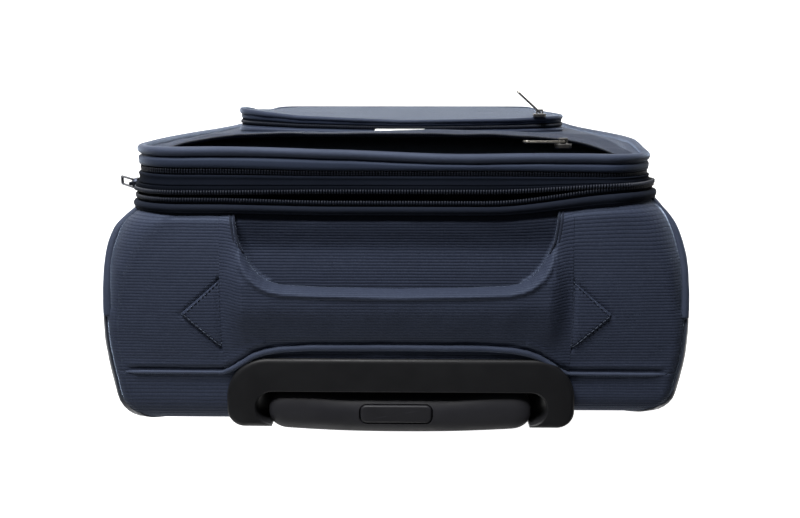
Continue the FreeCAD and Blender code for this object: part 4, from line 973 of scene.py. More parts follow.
def add_cloth(name, points, faces, uv, node):
    """One panel of cloth from the faces that belong to it, thickened inwards."""
    used, index = np.unique(faces, return_inverse=True)
    obj = piece(name, points[used], index.reshape(faces.shape), "rib", "case", "rib_fabric",
                (node,), uv[used], fix=False)
    with edited(obj.data) as work:
        bmesh.ops.remove_doubles(work, verts=work.verts, dist=MERGE)
        bmesh.ops.dissolve_degenerate(work, dist=MERGE / 2, edges=work.edges)
        bmesh.ops.recalc_face_normals(work, faces=work.faces[:])
        middles = [(f, f.calc_center_median()) for f in work.faces]
        face, middle = max(middles, key=lambda pair: abs(pair[1].z - MIDDLE * MM) + abs(pair[1].x))
        if face.normal.dot(middle - CENTRE) < 0:
            bmesh.ops.reverse_faces(work, faces=work.faces[:])
    thicken(obj, PANEL_THICK)
    apply_modifiers(obj)


BODY_SHELL = build_body()


# ---------------------------------------------------------------- rim, expander, ring and lid bands

# Depths between which each band round the front lies, from the body's front seam to the lid's welt
SEAM_BAND = (143.4, 149.4)
EXPANDER_REAR = (149.3, 153.8)
EXPANDER_FRONT = (157.4, 161.2)
RING_BAND = (161.0, 168.0)
MAIN_REAR = (168.0, 170.2)
MAIN_FRONT = (170.7, 173.2)
LID_ROLL = (180.5, 187.0)

OUTLINE_STEP = 4.0
RIM = rim_outline(RIM_HALF, LOW, TOP, RIM_R, OUTLINE_STEP)
LID = rim_outline(LID_HALF, LID_LOW, LID_HIGH, LID_R, OUTLINE_STEP)
RIM_LIP = 18.5

FOLD = [(-GUSSET_OUT, 137.5), (-GUSSET_OUT - 3.0, 139.0), (-GUSSET_OUT, 141.5),
        (-GUSSET_OUT - 2.4, 144.5), (-GUSSET_OUT + 0.4, 148.0), (-GUSSET_OUT - 2.2, 151.5),
        (-GUSSET_OUT, 155.0), (-RIM_LIP + 1.0, 157.5), (-RIM_LIP + 1.0, 160.5),
        (-GUSSET_OUT - 4.0, 160.5), (-GUSSET_OUT - 5.0, 137.5)]
TAPE_IN = 2.5
LID_IN = 4.2
LID_EDGE = 183.3
LID_FRONT = 182.5


def build_bands():
    """Every band from the front seam of the body to the lid's welt."""
    seam = [(-4.0, SEAM_BAND[0]), (-0.9, 143.5), (-0.1, 143.9), (-0.5, 144.6), (0.1, 145.2), (0.45, 146.4),
            (0.35, 147.6), (-0.3, 148.7), (-1.4, SEAM_BAND[1]), (-RIM_LIP, SEAM_BAND[1]),
            (-RIM_LIP, SEAM_BAND[0])]
    sweep("front_seam_band", RIM, seam, "seam", "case", "piping_fabric", ("front_welt",), 0.3, 2)
    sweep("expander_tape_rear", RIM, tape_profile(-TAPE_IN, *EXPANDER_REAR, RIM_LIP), "tape",
          "case", "zip_tape", ("expander_zip_rear",), 0.2, 4)
    folds = sweep("expander_folds", RIM, FOLD, "gusset", None, "rib_fabric",
                  ("expander_gusset",), 0.3, 5)
    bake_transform(folds)
    sweep("expander_tape_front", RIM, tape_profile(-TAPE_IN + 0.2, *EXPANDER_FRONT, RIM_LIP), "tape",
          "expander_ring", "zip_tape", ("expander_zip_front",), 0.2, 6)
    rim_teeth("expander_teeth_rear", RIM, TAPE_IN + 0.9, 153.4, (1.1, 2.8, 1.9), "case")
    rim_teeth("expander_teeth_front", RIM, TAPE_IN + 0.6, 157.6, (1.1, 3.0, 2.1), "expander_ring", 0.5)
    inner = 2.0 - RIM_LIP
    ring = [(-5.2, RING_BAND[0]), (-4.5, 161.4), (-4.6, 162.6), (-5.3, 164.4), (-5.2, 166.2), (-4.9, 167.3),
            (-5.6, RING_BAND[1]), (inner, RING_BAND[1]), (inner, RING_BAND[0])]
    sweep("ring_cloth_shaded", RIM, ring, "ring", "expander_ring", "rib_fabric", ("ring_band",), 0.3, 7)
    sweep("main_tape_rear", LID, tape_profile(-1.6, *MAIN_REAR, 9.0), "tape", "expander_ring",
          "zip_tape", ("main_zip_rear",))
    sweep("main_tape_front", LID, tape_profile(-1.2, *MAIN_FRONT, 7.0), "tape", "lid", "zip_tape",
          ("main_zip_front",))
    rim_teeth("main_teeth_rear", LID, 1.6, 169.7, (1.2, 2.3, 1.4), "expander_ring")
    rim_teeth("main_teeth_front", LID, 1.5, 171.2, (1.2, 2.3, 1.4), "lid", 0.5)
    sweep("lid_roll", LID, roll_profile(0.9, *LID_ROLL, 3.3, 4.0), "piping", "lid",
          "piping_fabric", ("lid_welt",), 0.3, 10)


def tape_profile(out, back, front, lip):
    """Flat band of cloth at one height, with a turned edge."""
    middle = (back + front) / 2
    return [(out - 0.5, back), (out - 0.05, back + 0.35), (out + 0.05, middle), (out - 0.05, front - 0.35),
            (out - 0.5, front), (-lip, front), (-lip, middle), (-lip, back)]


def face_depth(x, z):
    """Depth of the lid's padded front at a point."""
    share = np.maximum(np.abs(x) / (LID_HALF - LID_IN),
                       np.abs(np.asarray(z, float) - LID_MIDDLE) / (LID_HIGH - LID_MIDDLE - LID_IN))
    share = np.clip(share, 0.02, 1.0)
    shift = front_shift(x / share, LID_MIDDLE + (z - LID_MIDDLE) / share, LID_EDGE)
    return 183.6 + 1.2 * (1 - share ** 4) + shift * share ** 8


def build_lid():
    """The lid: a soft gusset band that turns into the front panel."""
    line, normal, run = LID
    steps = [(0.0, 173.0), (0.55, 173.5), (0.7, 175.6), (0.75, 177.6), (0.4, 178.9), (-1.2, 179.7),
             (-1.6, 180.6), (-1.9, 181.6), (-2.6, 182.6), (-LID_IN, LID_EDGE)]
    rows = []
    for out, depth in steps:
        x, z = (line + normal * out).T
        rows.append(stack(x + side_shift(x, z, depth), depth + front_shift(x, z, depth), z))
    for share in np.concatenate([np.linspace(0.985, 0.9, 6), np.linspace(0.87, 0.0, 22)]):
        up = LID_MIDDLE + (z - LID_MIDDLE) * share
        rows.append(stack(rows[len(steps) - 1][:, 0] * share, face_depth(x * share, up), up))
    pts = np.array(rows)
    pts[..., 1] += 0.5 * ripple(pts, 38.0, 12) * smooth(0, 8, np.arange(len(rows)))[:, None]
    step = np.cumsum(np.linalg.norm(np.diff(pts, axis=0), axis=2), axis=0)
    uv = stack(run[None, :], np.vstack([0 * run, step]))
    face = len(steps) + 2
    uv[face:] = pts[face:, :, ::2]
    obj = piece("lid_cloth", pts, grid_faces(len(rows), len(line), False, True), "band", "lid",
                "rib_fabric", ("lid_shell",), uv)
    # The lid's front takes the darker copy of the ribbed cloth: painted shade.
    obj.data.materials.append(MATERIALS["rib_shaded"])
    face_front(obj)
    for polygon in obj.data.polygons:
        if (BACK - polygon.center.y) / MM > LID_FRONT:
            polygon.material_index = 1
    thicken(obj, PANEL_THICK)
    apply_modifiers(obj)


build_bands()
build_lid()


# ---------------------------------------------------------------- carry handle

PAD_HALF = 119.0
HORN_X = 110.5
PAD_ROLL = 5.0
PAD_TALL = 8.0


def panel_z(x, depth):
    """Height of the top end's cloth."""
    return TOP - back_inset(depth) + top_relief(x, depth)


def pad_section(x, share):
    """Depth, underside and top of the pad across one station."""
    a = abs(x)
    if a > PAD_HALF:
        half = TAB_HALF * (TRI_X - a) / (TRI_X - PAD_HALF) + 0.3
        depth = TAB_MID - half + 2 * half * share
        under = panel_z(x, depth) + 0.1
        swell = (0.15 + 1.0 * smooth(TRI_X, TRI_X - 3, a)) * np.clip(1 - (2 * share - 1) ** 6, 0, 1) ** 0.5
        return depth, under, under + 0.1 + swell
    front = min(float(scoop_edge(a)), FRONT_SEAM) if a < HORN_X else FRONT_SEAM
    start = float(back_seam(a)) + 2.4
    depth = start + (front - start) * share
    sunk = recess_share(x, depth)
    level = TOP + crown(x, depth) + tuck(depth)
    under = np.where(depth < 100, panel_z(x, depth) * (1 - sunk) + (TOP + 1.2) * sunk, level)
    under = np.where(sunk > 0.02, np.minimum(level, np.maximum(under, TOP - 1.0)), under)
    rise = 0.10 + 0.90 * smooth(SEAM_MID - 4, 84, depth)
    fade = 1 - 0.86 * smooth(94, 128, depth)
    ends = smooth(PAD_HALF + 0.5, PAD_HALF - 17, a)
    tall = PAD_TALL * rise * fade * (0.04 + 0.96 * ends) * smooth(0, 7, depth - start)
    slope = (scoop_edge(a + 1.5) - scoop_edge(a - 1.5)) / 3.0 if a < 108 else 9.0
    away = (front - depth) / math.sqrt(1 + slope ** 2)
    roll = np.sqrt(1 - (1 - np.clip(away / PAD_ROLL, 0, 1)) ** 2) if a < HORN_X else np.ones_like(depth)
    edge = 1.4 * bump(3.4, 3.4, away) * smooth(112, 104, a)
    over = np.maximum(level, under) + (tall + edge) * roll - 2.4 * (1 - roll) * smooth(112, 106, a)
    return depth, np.minimum(under, over - 0.08), over


def build_carry_handle():
    """Padded front of the handle over the scoop, running into the horns, with a tab at each end."""
    half_line = np.concatenate([np.linspace(0, 72, 37)[:-1], np.linspace(72, 112, 50)[:-1],
                                np.linspace(112, PAD_HALF, 10), np.linspace(PAD_HALF + 0.6, TRI_X, 14)])
    xs = np.concatenate([-half_line[::-1], half_line[1:]])
    share = np.concatenate([np.linspace(0, 0.8, 34)[:-1],
                            0.8 + 0.2 * np.sin(np.linspace(0, math.pi / 2, 16))])
    rows = []
    uv = []
    for x in xs:
        depth, under, over = pad_section(x, share)
        ring = np.vstack([stack(x, depth, over), stack(x, depth, under)[::-1][1:-1]])
        rows.append(ring)
        uv.append(stack(x, depth[0] + run_of(ring)))
    pts = np.array(rows)
    lift = 0.45 * ripple(pts, 20.0, 21) * smooth(PAD_HALF - 2, PAD_HALF - 12, np.abs(pts[..., 0]))
    pts[..., 2] += lift * smooth(140, 120, pts[..., 1])
    pts[..., 1] += front_shift(pts[..., 0], TOP, pts[..., 1])
    obj = piece("handle_pad", pts, capped(pts), "rib_pad", "case", "rib_fabric",
                ("carry_handle",), uv)
    dark = []
    pale = []
    edging = []
    tip = TRI_X - PAD_HALF - 3.5
    tip_side = np.linspace(0, 1, 30)
    for side in (-1, 1):
        base = stack(PAD_HALF + 0.9, np.linspace(51.5, 97.5, 40))
        upper = stack(PAD_HALF + 1 + tip * tip_side, 96.6 - 22.6 * tip_side)
        lower = stack(PAD_HALF + 1 + tip * tip_side, 51.4 + 22.6 * tip_side)
        for line, group in ((base, dark), (upper, dark), (lower, pale)):
            x, d = side * line[:, 0], line[:, 1]
            group.append(thread(stack(x, d, panel_z(x, d) + 1.5)))
        d = np.linspace(117, 142.6, 26)
        for inset in (0.3, 2.6):
            x = side * (np.interp(d, EDGE_D, EDGE_X) + inset)
            z = TOP + crown(x, d) + tuck(d) + 0.5 * smooth(116, 124, d) - 0.6
            edging.append(tube_along(stack(x, d + front_shift(x, TOP, d), z), 0.95, 8))
    for name, group, look in (("tab_stitches", dark, "thread_dark"),
                              ("tab_stitches_pale", pale, "thread_pale"),
                              ("horn_edging", edging, "thread_dark")):
        piece(name, *joined(group), look, "case", "piping_fabric")


build_carry_handle()


# ---------------------------------------------------------------- hard parts kept from the CAD form

def bevelled(node, look, slot, width):
    """A CAD node's own form with its facets merged and its edges rounded."""
    obj = copied(node, node + "_form")
    with edited(obj.data) as work:
        bmesh.ops.dissolve_limit(work, angle_limit=math.radians(1.0), verts=work.verts, edges=work.edges)
    round_edges(obj, width, 28)
    apply_modifiers(obj)
    sharp_by_angle(obj, 42)
    register(obj, look, frame["nodes"][node]["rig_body"], slot, (node,))


ZIPS = ("expander", "main_upper", "main_lower", "upper_pocket", "lower_pocket")
HARD = [("left_wheel_housing", "black", "black_plastic", 2.2),
        ("right_wheel_housing", "black", "black_plastic", 2.2),
        ("front_feet", "black", "black_plastic", 2.0),
        ("side_handle_caps", "black", "black_plastic", 0.8),
        ("tube_foot", "black", "black_plastic", 0.5),
        ("badge_plate", "badge", "badge_metal", 0.4),
        ("stage_guides", "black", "black_plastic", 0.3),
        ("lock_blocks", "black", "black_plastic", 0.4)]
for ending, metal, round_mm in (("_slider", "slider", 0.45), ("_pull", "nickel", 0.4)):
    HARD += [(zipper + ending, "dark_pull" if zipper == "expander" else metal, "pull_metal", round_mm)
             for zipper in ZIPS]
PLAIN = [("outer_tubes", "tube"), ("middle_tubes", "tube"), ("inner_tubes", "tube"),
         ("lock_pins", "steel"), ("push_yoke", "black"), ("button_spring", "steel"),
         ("wheel_axles", "steel"), ("left_bearing", "steel"), ("right_bearing", "steel"),
         ("frame_board", "board")]

for node, look, slot_name, width in HARD:
    bevelled(node, look, slot_name, width)
for node, look in PLAIN:
    cad = frame["nodes"][node]
    cad.data.materials.clear()
    cad.data.materials.append(MATERIALS[look])


# ---------------------------------------------------------------- pull handle and button

GRIP_LOW, GRIP_SPLIT = box_mm("grip_lower_shell")[2]
GRIP_TOP = box_mm("grip_upper_shell")[2][1]
BUTTON = box_mm("release_button")
BUTTON_R = 4.2
RECESS_LOW = 495.5
RECESS_X = (-104.0, 97.0)
RECESS_D = (-4.4, 18.8)
RECESS_ROUND = 11.4
MOUTH_X = (-93.0, 87.0)
GRIP_X = (-93.4, 88.6)
GRIP_D = (-13.2, 14.2)
GRIP_SWELL = 3.4
GRIP_END = 13.0
GRIP_POWER = 2.7
GRIP_GAP = 0.12
CUP_EDGE = [(0.0, -1), (0.0, 3.4), (0.25, 2.2), (0.9, 1.1), (2.0, 0.35), (3.6, 0.0)]


def grip_section(x):
    """Centre depth and half depth of the barrel-shaped grip at one station, and how far its end is shut."""
    half = (GRIP_X[1] - GRIP_X[0]) / 2
    off = abs(x - (GRIP_X[0] + GRIP_X[1]) / 2)
    t = off / half
    back = GRIP_D[0] + GRIP_SWELL * t ** 2.2
    front = GRIP_D[1] + GRIP_SWELL * smooth(0.35, 0.8, t)
    shut = math.sqrt(max(0.0, 1 - max(0.0, (off - half + GRIP_END) / GRIP_END) ** 2.2))
    shut = max(shut, 0.12)
    return (back + front) / 2, (front - back) / 2 * (0.35 + 0.65 * shut), shut


def grip_shell(name, node, upper):
    """One half of the grip, from the split line up or down."""
    low_x, high_x = GRIP_X[0] + GRIP_END, GRIP_X[1] - GRIP_END
    turn = np.linspace(0, math.pi / 2, 16)
    xs = np.concatenate([(GRIP_X[0] + GRIP_END * (1 - np.cos(turn)))[:-1], np.linspace(low_x, high_x, 90),
                         (high_x + GRIP_END * np.sin(turn))[1:]])
    centre_z = (GRIP_TOP + GRIP_LOW) / 2 + 1.0
    rows = []
    for x in xs:
        centre, half, shut = grip_section(x)
        high, low = ((reach * (0.72 + 0.28 * shut)) for reach in (GRIP_TOP - centre_z, centre_z - GRIP_LOW))
        cut = -math.asin(min(1.0, ((centre_z - GRIP_SPLIT) / low)) ** (GRIP_POWER / 2))
        half_turn = math.pi - cut
        ts = np.linspace(cut, half_turn, 41) if upper else np.linspace(half_turn, 2 * math.pi + cut, 25)
        c, s = np.cos(ts), np.sin(ts)
        d = centre + half * np.sign(c) * np.abs(c) ** (2 / GRIP_POWER)
        z = centre_z + np.where(s > 0, high, low) * np.sign(s) * np.abs(s) ** (2 / GRIP_POWER)
        z = np.maximum(z, GRIP_SPLIT + GRIP_GAP) if upper else np.minimum(z, GRIP_SPLIT - GRIP_GAP)
        rows.append(stack(x, d, z))
    return piece(name, rows, capped(rows), "grip", "handle_grip", "grip_plastic", (node,))


def rounded_rings(x0, x1, d0, d1, radius, levels):
    """Rounded rectangles seen from above, drawn in by insets at rising heights."""
    rings = []
    for inset, z in levels:
        r = max(radius - inset, 0.3)
        ring = []
        for cx, cd, start in ((x1 - inset - r, d1 - inset - r, 0), (x0 + inset + r, d1 - inset - r, 90),
                              (x0 + inset + r, d0 + inset + r, 180), (x1 - inset - r, d0 + inset + r, 270)):
            for k in range(8):
                a = math.radians(start + 90 * k / 7)
                ring.append((cx + r * math.cos(a), cd + r * math.sin(a), z))
        rings.append(np.array(ring))
    return rings


def cut_out(obj, rings):
    """Take a closed form, given by its rings, out of a piece."""
    mesh = bpy.data.meshes.new("cutter")
    mesh.from_pydata(put(rings).reshape(-1, 3).tolist(), [], capped(rings))
    with edited(mesh) as work:
        bmesh.ops.recalc_face_normals(work, faces=work.faces[:])
    tool = bpy.data.objects.new("cutter", mesh)
    link(tool)
    add_modifier(obj, "BOOLEAN", operation="DIFFERENCE", solver="EXACT", object=tool)
    apply_modifiers(obj)
    bpy.data.objects.remove(tool)


def build_cup():
    """Moulded cup round the grip: a rolled flange, a recess with round ends and a mouth behind."""
    _, (d0, d1), (low, high) = CUP
    x0, x1 = CUP_SIDE - CUP_HALF, CUP_SIDE + CUP_HALF
    plan = [(x1, d1, CUP_ROUND, 0), (x0, d1, CUP_ROUND, 90), (x0, d0, 12.0, 180), (x1, d0, 12.0, 270)]
    rings = []
    for inset, z in CUP_EDGE:
        ring = []
        for cx, cd, radius, start in plan:
            r = max(radius - inset, 1.0)
            ox = cx - math.copysign(inset + r, cx - CUP_SIDE)
            od = cd - (inset + r if start < 180 else -inset - r)
            for k in range(19):
                a = math.radians(start + 90 * k / 18)
                ring.append((ox + r * math.cos(a), od + r * math.sin(a), (low if z < 0 else high - z)))
        rings.append(ring)
    cup = piece("handle_cup_form", rings, capped(rings), "black", "case",
                "black_plastic", ("handle_cup",))
    top = high + 5.0
    cuts = [rounded_rings(*RECESS_X, *RECESS_D, RECESS_ROUND,
                          [(0.0, RECESS_LOW), (0.0, high - 1.4), (-0.4, high - 0.7),
                           (-1.3, high + 0.05), (-1.3, top)]),
            rounded_rings(*MOUTH_X, d0 - 12, 6.0, 5.0, [(0.0, RECESS_LOW), (0.0, top)]),
            rounded_rings(x0 + 2.5, x1 - 2.5, d0 + 2.5, 20.0, 6.0,
                          [(0.0, low - 5.0), (0.0, RECESS_LOW - 2.5)])]
    (_, tube_x), (t0, t1), _ = box_mm("outer_tubes")
    tube = (t1 - t0) / 2
    for side in (-1, 1):
        mid = side * (tube_x - tube)
        cuts.append(rounded_rings(mid - tube - 0.1, mid + tube + 0.1, t0 - 0.1, t1 + 0.1, 3.0,
                                  [(0.0, RECESS_LOW - 6.0), (0.0, RECESS_LOW + 2.0)]))
    for rings in cuts:
        cut_out(cup, rings)
    sharp_by_angle(cup, 34)


def build_grip():
    """Both shells of the grip and the button let into the upper one."""
    upper = grip_shell("grip_top", "grip_upper_shell", True)
    (x0, x1), (d0, d1), (_, top) = BUTTON
    gap = 0.75
    cut_out(upper, rounded_rings(x0 - gap, x1 + gap, d0 - gap, d1 + gap, BUTTON_R + gap,
                                 [(0.0, top - 7.0), (0.0, GRIP_TOP - 0.9), (-0.9, GRIP_TOP + 1.0)]))
    sharp_by_angle(upper, 40)
    grip_shell("grip_under", "grip_lower_shell", False)
    rings = rounded_rings(x0, x1, d0, d1, BUTTON_R, [(0.0, top - 6.0), (0.0, top - 1.25), (0.25, top - 0.7),
                                                     (0.75, top - 0.3), (1.5, top - 0.18)])
    centre = np.array([(x0 + x1) / 2, (d0 + d1) / 2, top - 0.18])
    rim = rings[-1]
    for share in (0.85, 0.6, 0.3):
        rings.append(centre + (rim - centre) * share + [0, 0, 0.15 * (1 - share ** 2)])
    piece("button_cap", rings, capped(rings), "button", "button", "button_plastic",
          ("release_button",))


build_cup()
build_grip()


# ---------------------------------------------------------------- edge piping and corner guards

def seam_point(depth, side, end, out=0.0):
    """A point on the seam between a side panel and an end panel; end is 1 at the top, -1 below."""
    half = side_half(depth) - back_inset(depth)
    radius = corner_r(depth)
    high = (TOP if end > 0 else -LOW) - back_inset(depth)
    angle = np.radians(seam_angle(depth))
    x = side * (half - radius + (radius + out) * np.cos(angle))
    z = end * (high - radius + (radius + out) * np.sin(angle))
    return np.stack([x, depth, z], -1)


def pipe_weave(run, pitch):
    """Weave coordinates of a tube: along it and round it, with its two end points."""
    round_it = np.tile(np.arange(PIPE_SIDES) * pitch, len(run))
    return np.vstack([stack(np.repeat(run, PIPE_SIDES), round_it), [(0, 0), (0, 0)]])


def build_piping():
    """Rolled piping down the side seams, front of the guards."""
    sets = []
    uvs = []
    for side in (-1, 1):
        for end in (-1, 1):
            rear = GUARD_FRONT - 5.0 if end > 0 else 5.0
            depth = np.linspace(rear, BODY_DEPTH + 0.3, 46 if end > 0 else 84)
            last = smooth(BODY_DEPTH - 14, BODY_DEPTH, depth)
            line = seam_point(depth, side, end, 0.2 - 2.6 * last)
            line[:, 1] += front_shift(line[:, 0], line[:, 2], depth)
            line[:, 0] += side_shift(line[:, 0], line[:, 2], depth)
            line += 0.35 * ripple(line, 16.0, 31 + side + 2 * end)[:, None] * np.array([side, 0.0, end])
            sets.append(tube_along(line, 3.2 - 0.9 * last, PIPE_SIDES))
            uvs.append(pipe_weave(depth, 1.7))
    piece("seam_piping", *joined(sets), "piping", "case", "piping_fabric", ("side_piping",),
          np.vstack(uvs))


def build_guards(grid, depth, places):
    """Moulded guards over the upper back corners: patches of the case's own form, stood off from it."""
    count, rows = grid.shape[:2]
    keep = np.zeros((count, rows), bool)
    for i, (kind, t) in enumerate(places):
        if kind in CORNER_PANELS:
            beyond = t >= 0.5 if kind in ("c_tl", "c_br") else t <= 0.5
            keep[i] = beyond | (depth < 9)
        elif kind in ("left", "right"):
            edge = TOP - grid[i, :, 2]
            keep[i] = (edge < GUARD_DOWN) | ((depth < 10) & (edge < GUARD_TAIL))
    keep &= (depth <= GUARD_FRONT) & (grid[..., 2] >= MIDDLE)
    faces = grid_faces(count, rows, True, False)
    faces = faces[keep.reshape(-1)[faces].all(1)]
    used, index = np.unique(faces, return_inverse=True)
    obj = piece("edge_guards", grid.reshape(-1, 3)[used], index.reshape(faces.shape), "pvc", "case",
                "edge_guard", ("corner_guards",), fix=False)
    with edited(obj.data) as work:
        bmesh.ops.remove_doubles(work, verts=work.verts, dist=2.5 * MERGE)
        bmesh.ops.recalc_face_normals(work, faces=work.faces[:])
        if sum(f.normal.dot(f.calc_center_median() - CENTRE) * f.calc_area() for f in work.faces) < 0:
            bmesh.ops.reverse_faces(work, faces=work.faces[:])
        # even out the stepped border
        for _ in range(GUARD_PASSES):
            moved = {}
            for v in work.verts:
                ends = [e.other_vert(v).co for e in v.link_edges if e.is_boundary]
                if len(ends) == 2:
                    moved[v] = v.co * 0.4 + (ends[0] + ends[1]) * 0.3
            for v, co in moved.items():
                v.co = co
        work.normal_update()
        for v in work.verts:
            up = math.degrees(math.atan2(abs(v.normal.z), abs(v.normal.x)))
            v.co += v.normal * (1.0 + 1.2 * float(bump(22, 32, up))) * MM
    thicken(obj, GUARD_THICK)
    round_edges(obj, 0.9, 50)
    apply_modifiers(obj)
    sharp_by_angle(obj, 60)


def build_back_seam():
    """Turned edge that stands up along the seam between the back panel and the top end."""
    x = np.linspace(-188, 188, 270)
    depth = back_seam(x) + 0.6
    ends = 1 - 0.55 * smooth(106, 124, np.abs(x)) - 0.3 * smooth(178, 187, np.abs(x))
    line = np.stack([x, depth, panel_z(x, depth) - 0.6 + 0.8 * ends], -1)
    line[:, 0] += side_shift(x, TOP, depth)
    line = line + 0.15 * ripple(line, 9.0, 37)[:, None]
    piece("back_seam_edge", *tube_along(line, 0.7 + 1.5 * ends, PIPE_SIDES), "piping", "case",
          "piping_fabric", (), pipe_weave(run_of(line), 1.0))


build_piping()
build_back_seam()
build_guards(*BODY_SHELL)


# ---------------------------------------------------------------- front pockets

def resample(points, step):
    """Closed line of points at even steps."""
    pts = loop(points)
    run = run_of(pts)
    count = int(round(run[-1] / step))
    at = np.arange(count) * run[-1] / count
    return np.stack([np.interp(at, run, pts[:, k]) for k in range(2)], -1)


def pocket_line():
    """Outline of the lower pocket seen from the front: arched top edge, corners rounded off."""
    (x0, x1), _, (low, high) = POCKET
    half = (x1 - x0) / 2
    xs = np.linspace(-half, half, 60)
    corners = np.vstack([stack(xs, high + 1.5 - 35.0 * (xs / half) ** 2), [(half, low), (-half, low)]])
    line = resample(corners, 1.0)
    window = 17
    for _ in range(2):
        line = sum(np.roll(line, k, axis=0) for k in range(-window, window + 1)) / (2 * window + 1)
    line = resample(line, 3.0)[::-1]
    ahead = unit(np.roll(line, -1, axis=0) - np.roll(line, 1, axis=0))
    normal = stack(ahead[:, 1], -ahead[:, 0])
    if ((line - line.mean(0)) * normal).sum() < 0:
        normal = -normal
    return line, normal, run_of(line)


FACE = 184.2
POCKET_RISE = 10.3


def pocket_lift(x, z, depth):
    """The filled pocket stands further forward at its upper left corner."""
    side = np.interp(x, [-145, -100, 0, 90, 145], [2.0, 0.6, 0.0, 3.0, 8.0])
    drop = smooth(150, 300, z)
    return side * drop * np.clip((np.asarray(depth, float) - FACE) / 11.0, 0, 1.1)


def pocket_sweep(name, line, profile, look, slot, replaces=(), loose=0.25, seed=41):
    """Band round the lower pocket that follows its filled form."""
    points, uv = carried(line, profile, pocket_lift)
    push_out(points, line[1], loose * ripple(points.mean(1), 18.0, seed))
    piece(name, points, grid_faces(len(line[0]), len(profile), True, True), look, "lid", slot,
          replaces, uv)


def build_lower_pocket():
    """Arched pocket: gusset, zip let into it, piping round the front edge and a padded face."""
    line = pocket_line()
    at, normal, _ = line
    for name, look, slot, replaces, profile in (
            ("pocket_gusset", "band", "rib_fabric", (),
             [(-0.2, -1.2), (0.1, 0.0), (0.1, 2.6), (-0.4, 3.0), (-4.0, 3.0), (-4.0, -1.2)]),
            ("pocket_zip_tapes", "tape", "zip_tape", ("lower_pocket_zip",),
             [(-0.6, 2.6), (-0.45, 3.4), (-0.45, 6.0), (-0.6, 6.8), (-4.0, 6.8), (-4.0, 2.6)])):
        pocket_sweep(name, line, [(out, FACE + d) for out, d in profile], look, slot, replaces)
    turn = np.linspace(-2.3, 2.5, 12)
    pocket_sweep("pocket_piping", line, stack(1.3 * np.cos(turn) + 0.1, FACE + 10.2 + 1.5 * np.sin(turn)),
                 "piping", "piping_fabric", (), 0.3, 43)
    turn = np.linspace(-2.6, 2.6, 12)
    pocket_sweep("pocket_base_piping", line, stack(1.3 * np.cos(turn) + 0.6, FACE + 1.0 + 1.3 * np.sin(turn)),
                 "piping", "piping_fabric")
    pocket_sweep("pocket_front_gusset", line, [(out, FACE + d) for out, d in (
        (-0.3, 6.6), (0.0, 6.9), (0.0, 8.2), (-0.6, 9.5), (-4.0, 9.5), (-4.0, 6.6))], "band", "rib_fabric")
    pts = []
    for depth, out in ((FACE + 6.0, -2.2), (FACE + 9.2, -1.4), (FACE + POCKET_RISE, -2.0)):
        x, z = (at + normal * out).T
        pts.append(stack(x, depth + pocket_lift(x, z, depth), z))
    centre = (POCKET[2][0] + POCKET[2][1]) / 2 - 12
    for share in np.concatenate([np.linspace(0.985, 0.85, 8), np.linspace(0.82, 0.0, 24)]):
        in_x, in_z = x * share, centre + (z - centre) * share
        depth = FACE + POCKET_RISE + 2.2 * (1 - share ** 5)
        pts.append(stack(in_x, depth + pocket_lift(in_x, in_z, depth), in_z))
    pts = np.array(pts)
    pts[3:, :, 1] += 0.6 * ripple(pts[3:], 45.0, 44) * smooth(0, 6, np.arange(len(pts) - 3))[:, None]
    obj = piece("pocket_face", pts, grid_faces(len(pts), len(at), False, True), "rib_face",
                "lid", "rib_fabric", ("lower_pocket",), pts[..., ::2])
    face_front(obj)
    thicken(obj, POCKET_THICK)
    apply_modifiers(obj)
    x, z = (at - normal * 0.5).T
    depth = FACE + 4.7
    teeth("pocket_teeth", stack(x, depth + pocket_lift(at[:, 0], at[:, 1], depth), z), *outline_frame(normal),
          POCKET_PITCH, (0.9, 2.6, 1.2), "lid")


LIP_X = [-163, -158, -150, -140, -128, -113, -90, -67, 0, 67, 106, 125, 140, 148, 156, 163]
LIP_D = [177.4, 178.2, 180.6, 184.6, 188.4, 191.6, 193.9, 195.0, 195.4, 195.3, 194.2, 192.0, 189.4, 187.4,
         185.0, 183.6]
MOUTH_HALF = 162.0
FLAP_LOW, LIP_Z = UPPER[2]
LIP_EDGE = LIP_Z + 4.2
LID_TEETH = LIP_Z + 5.5


def flap_depth(x, z):
    """Depth of the upper pocket's slack front at a point: it gapes at the mouth."""
    fall = smooth(FLAP_LOW + 10, LIP_Z + 2, z) ** 1.6
    rest = face_depth(x, LIP_Z + 0 * np.asarray(z, float)) + 0.9
    lip = np.maximum(np.interp(x, LIP_X, LIP_D), rest)
    return face_depth(x, z) + 0.9 + (lip - rest) * fall


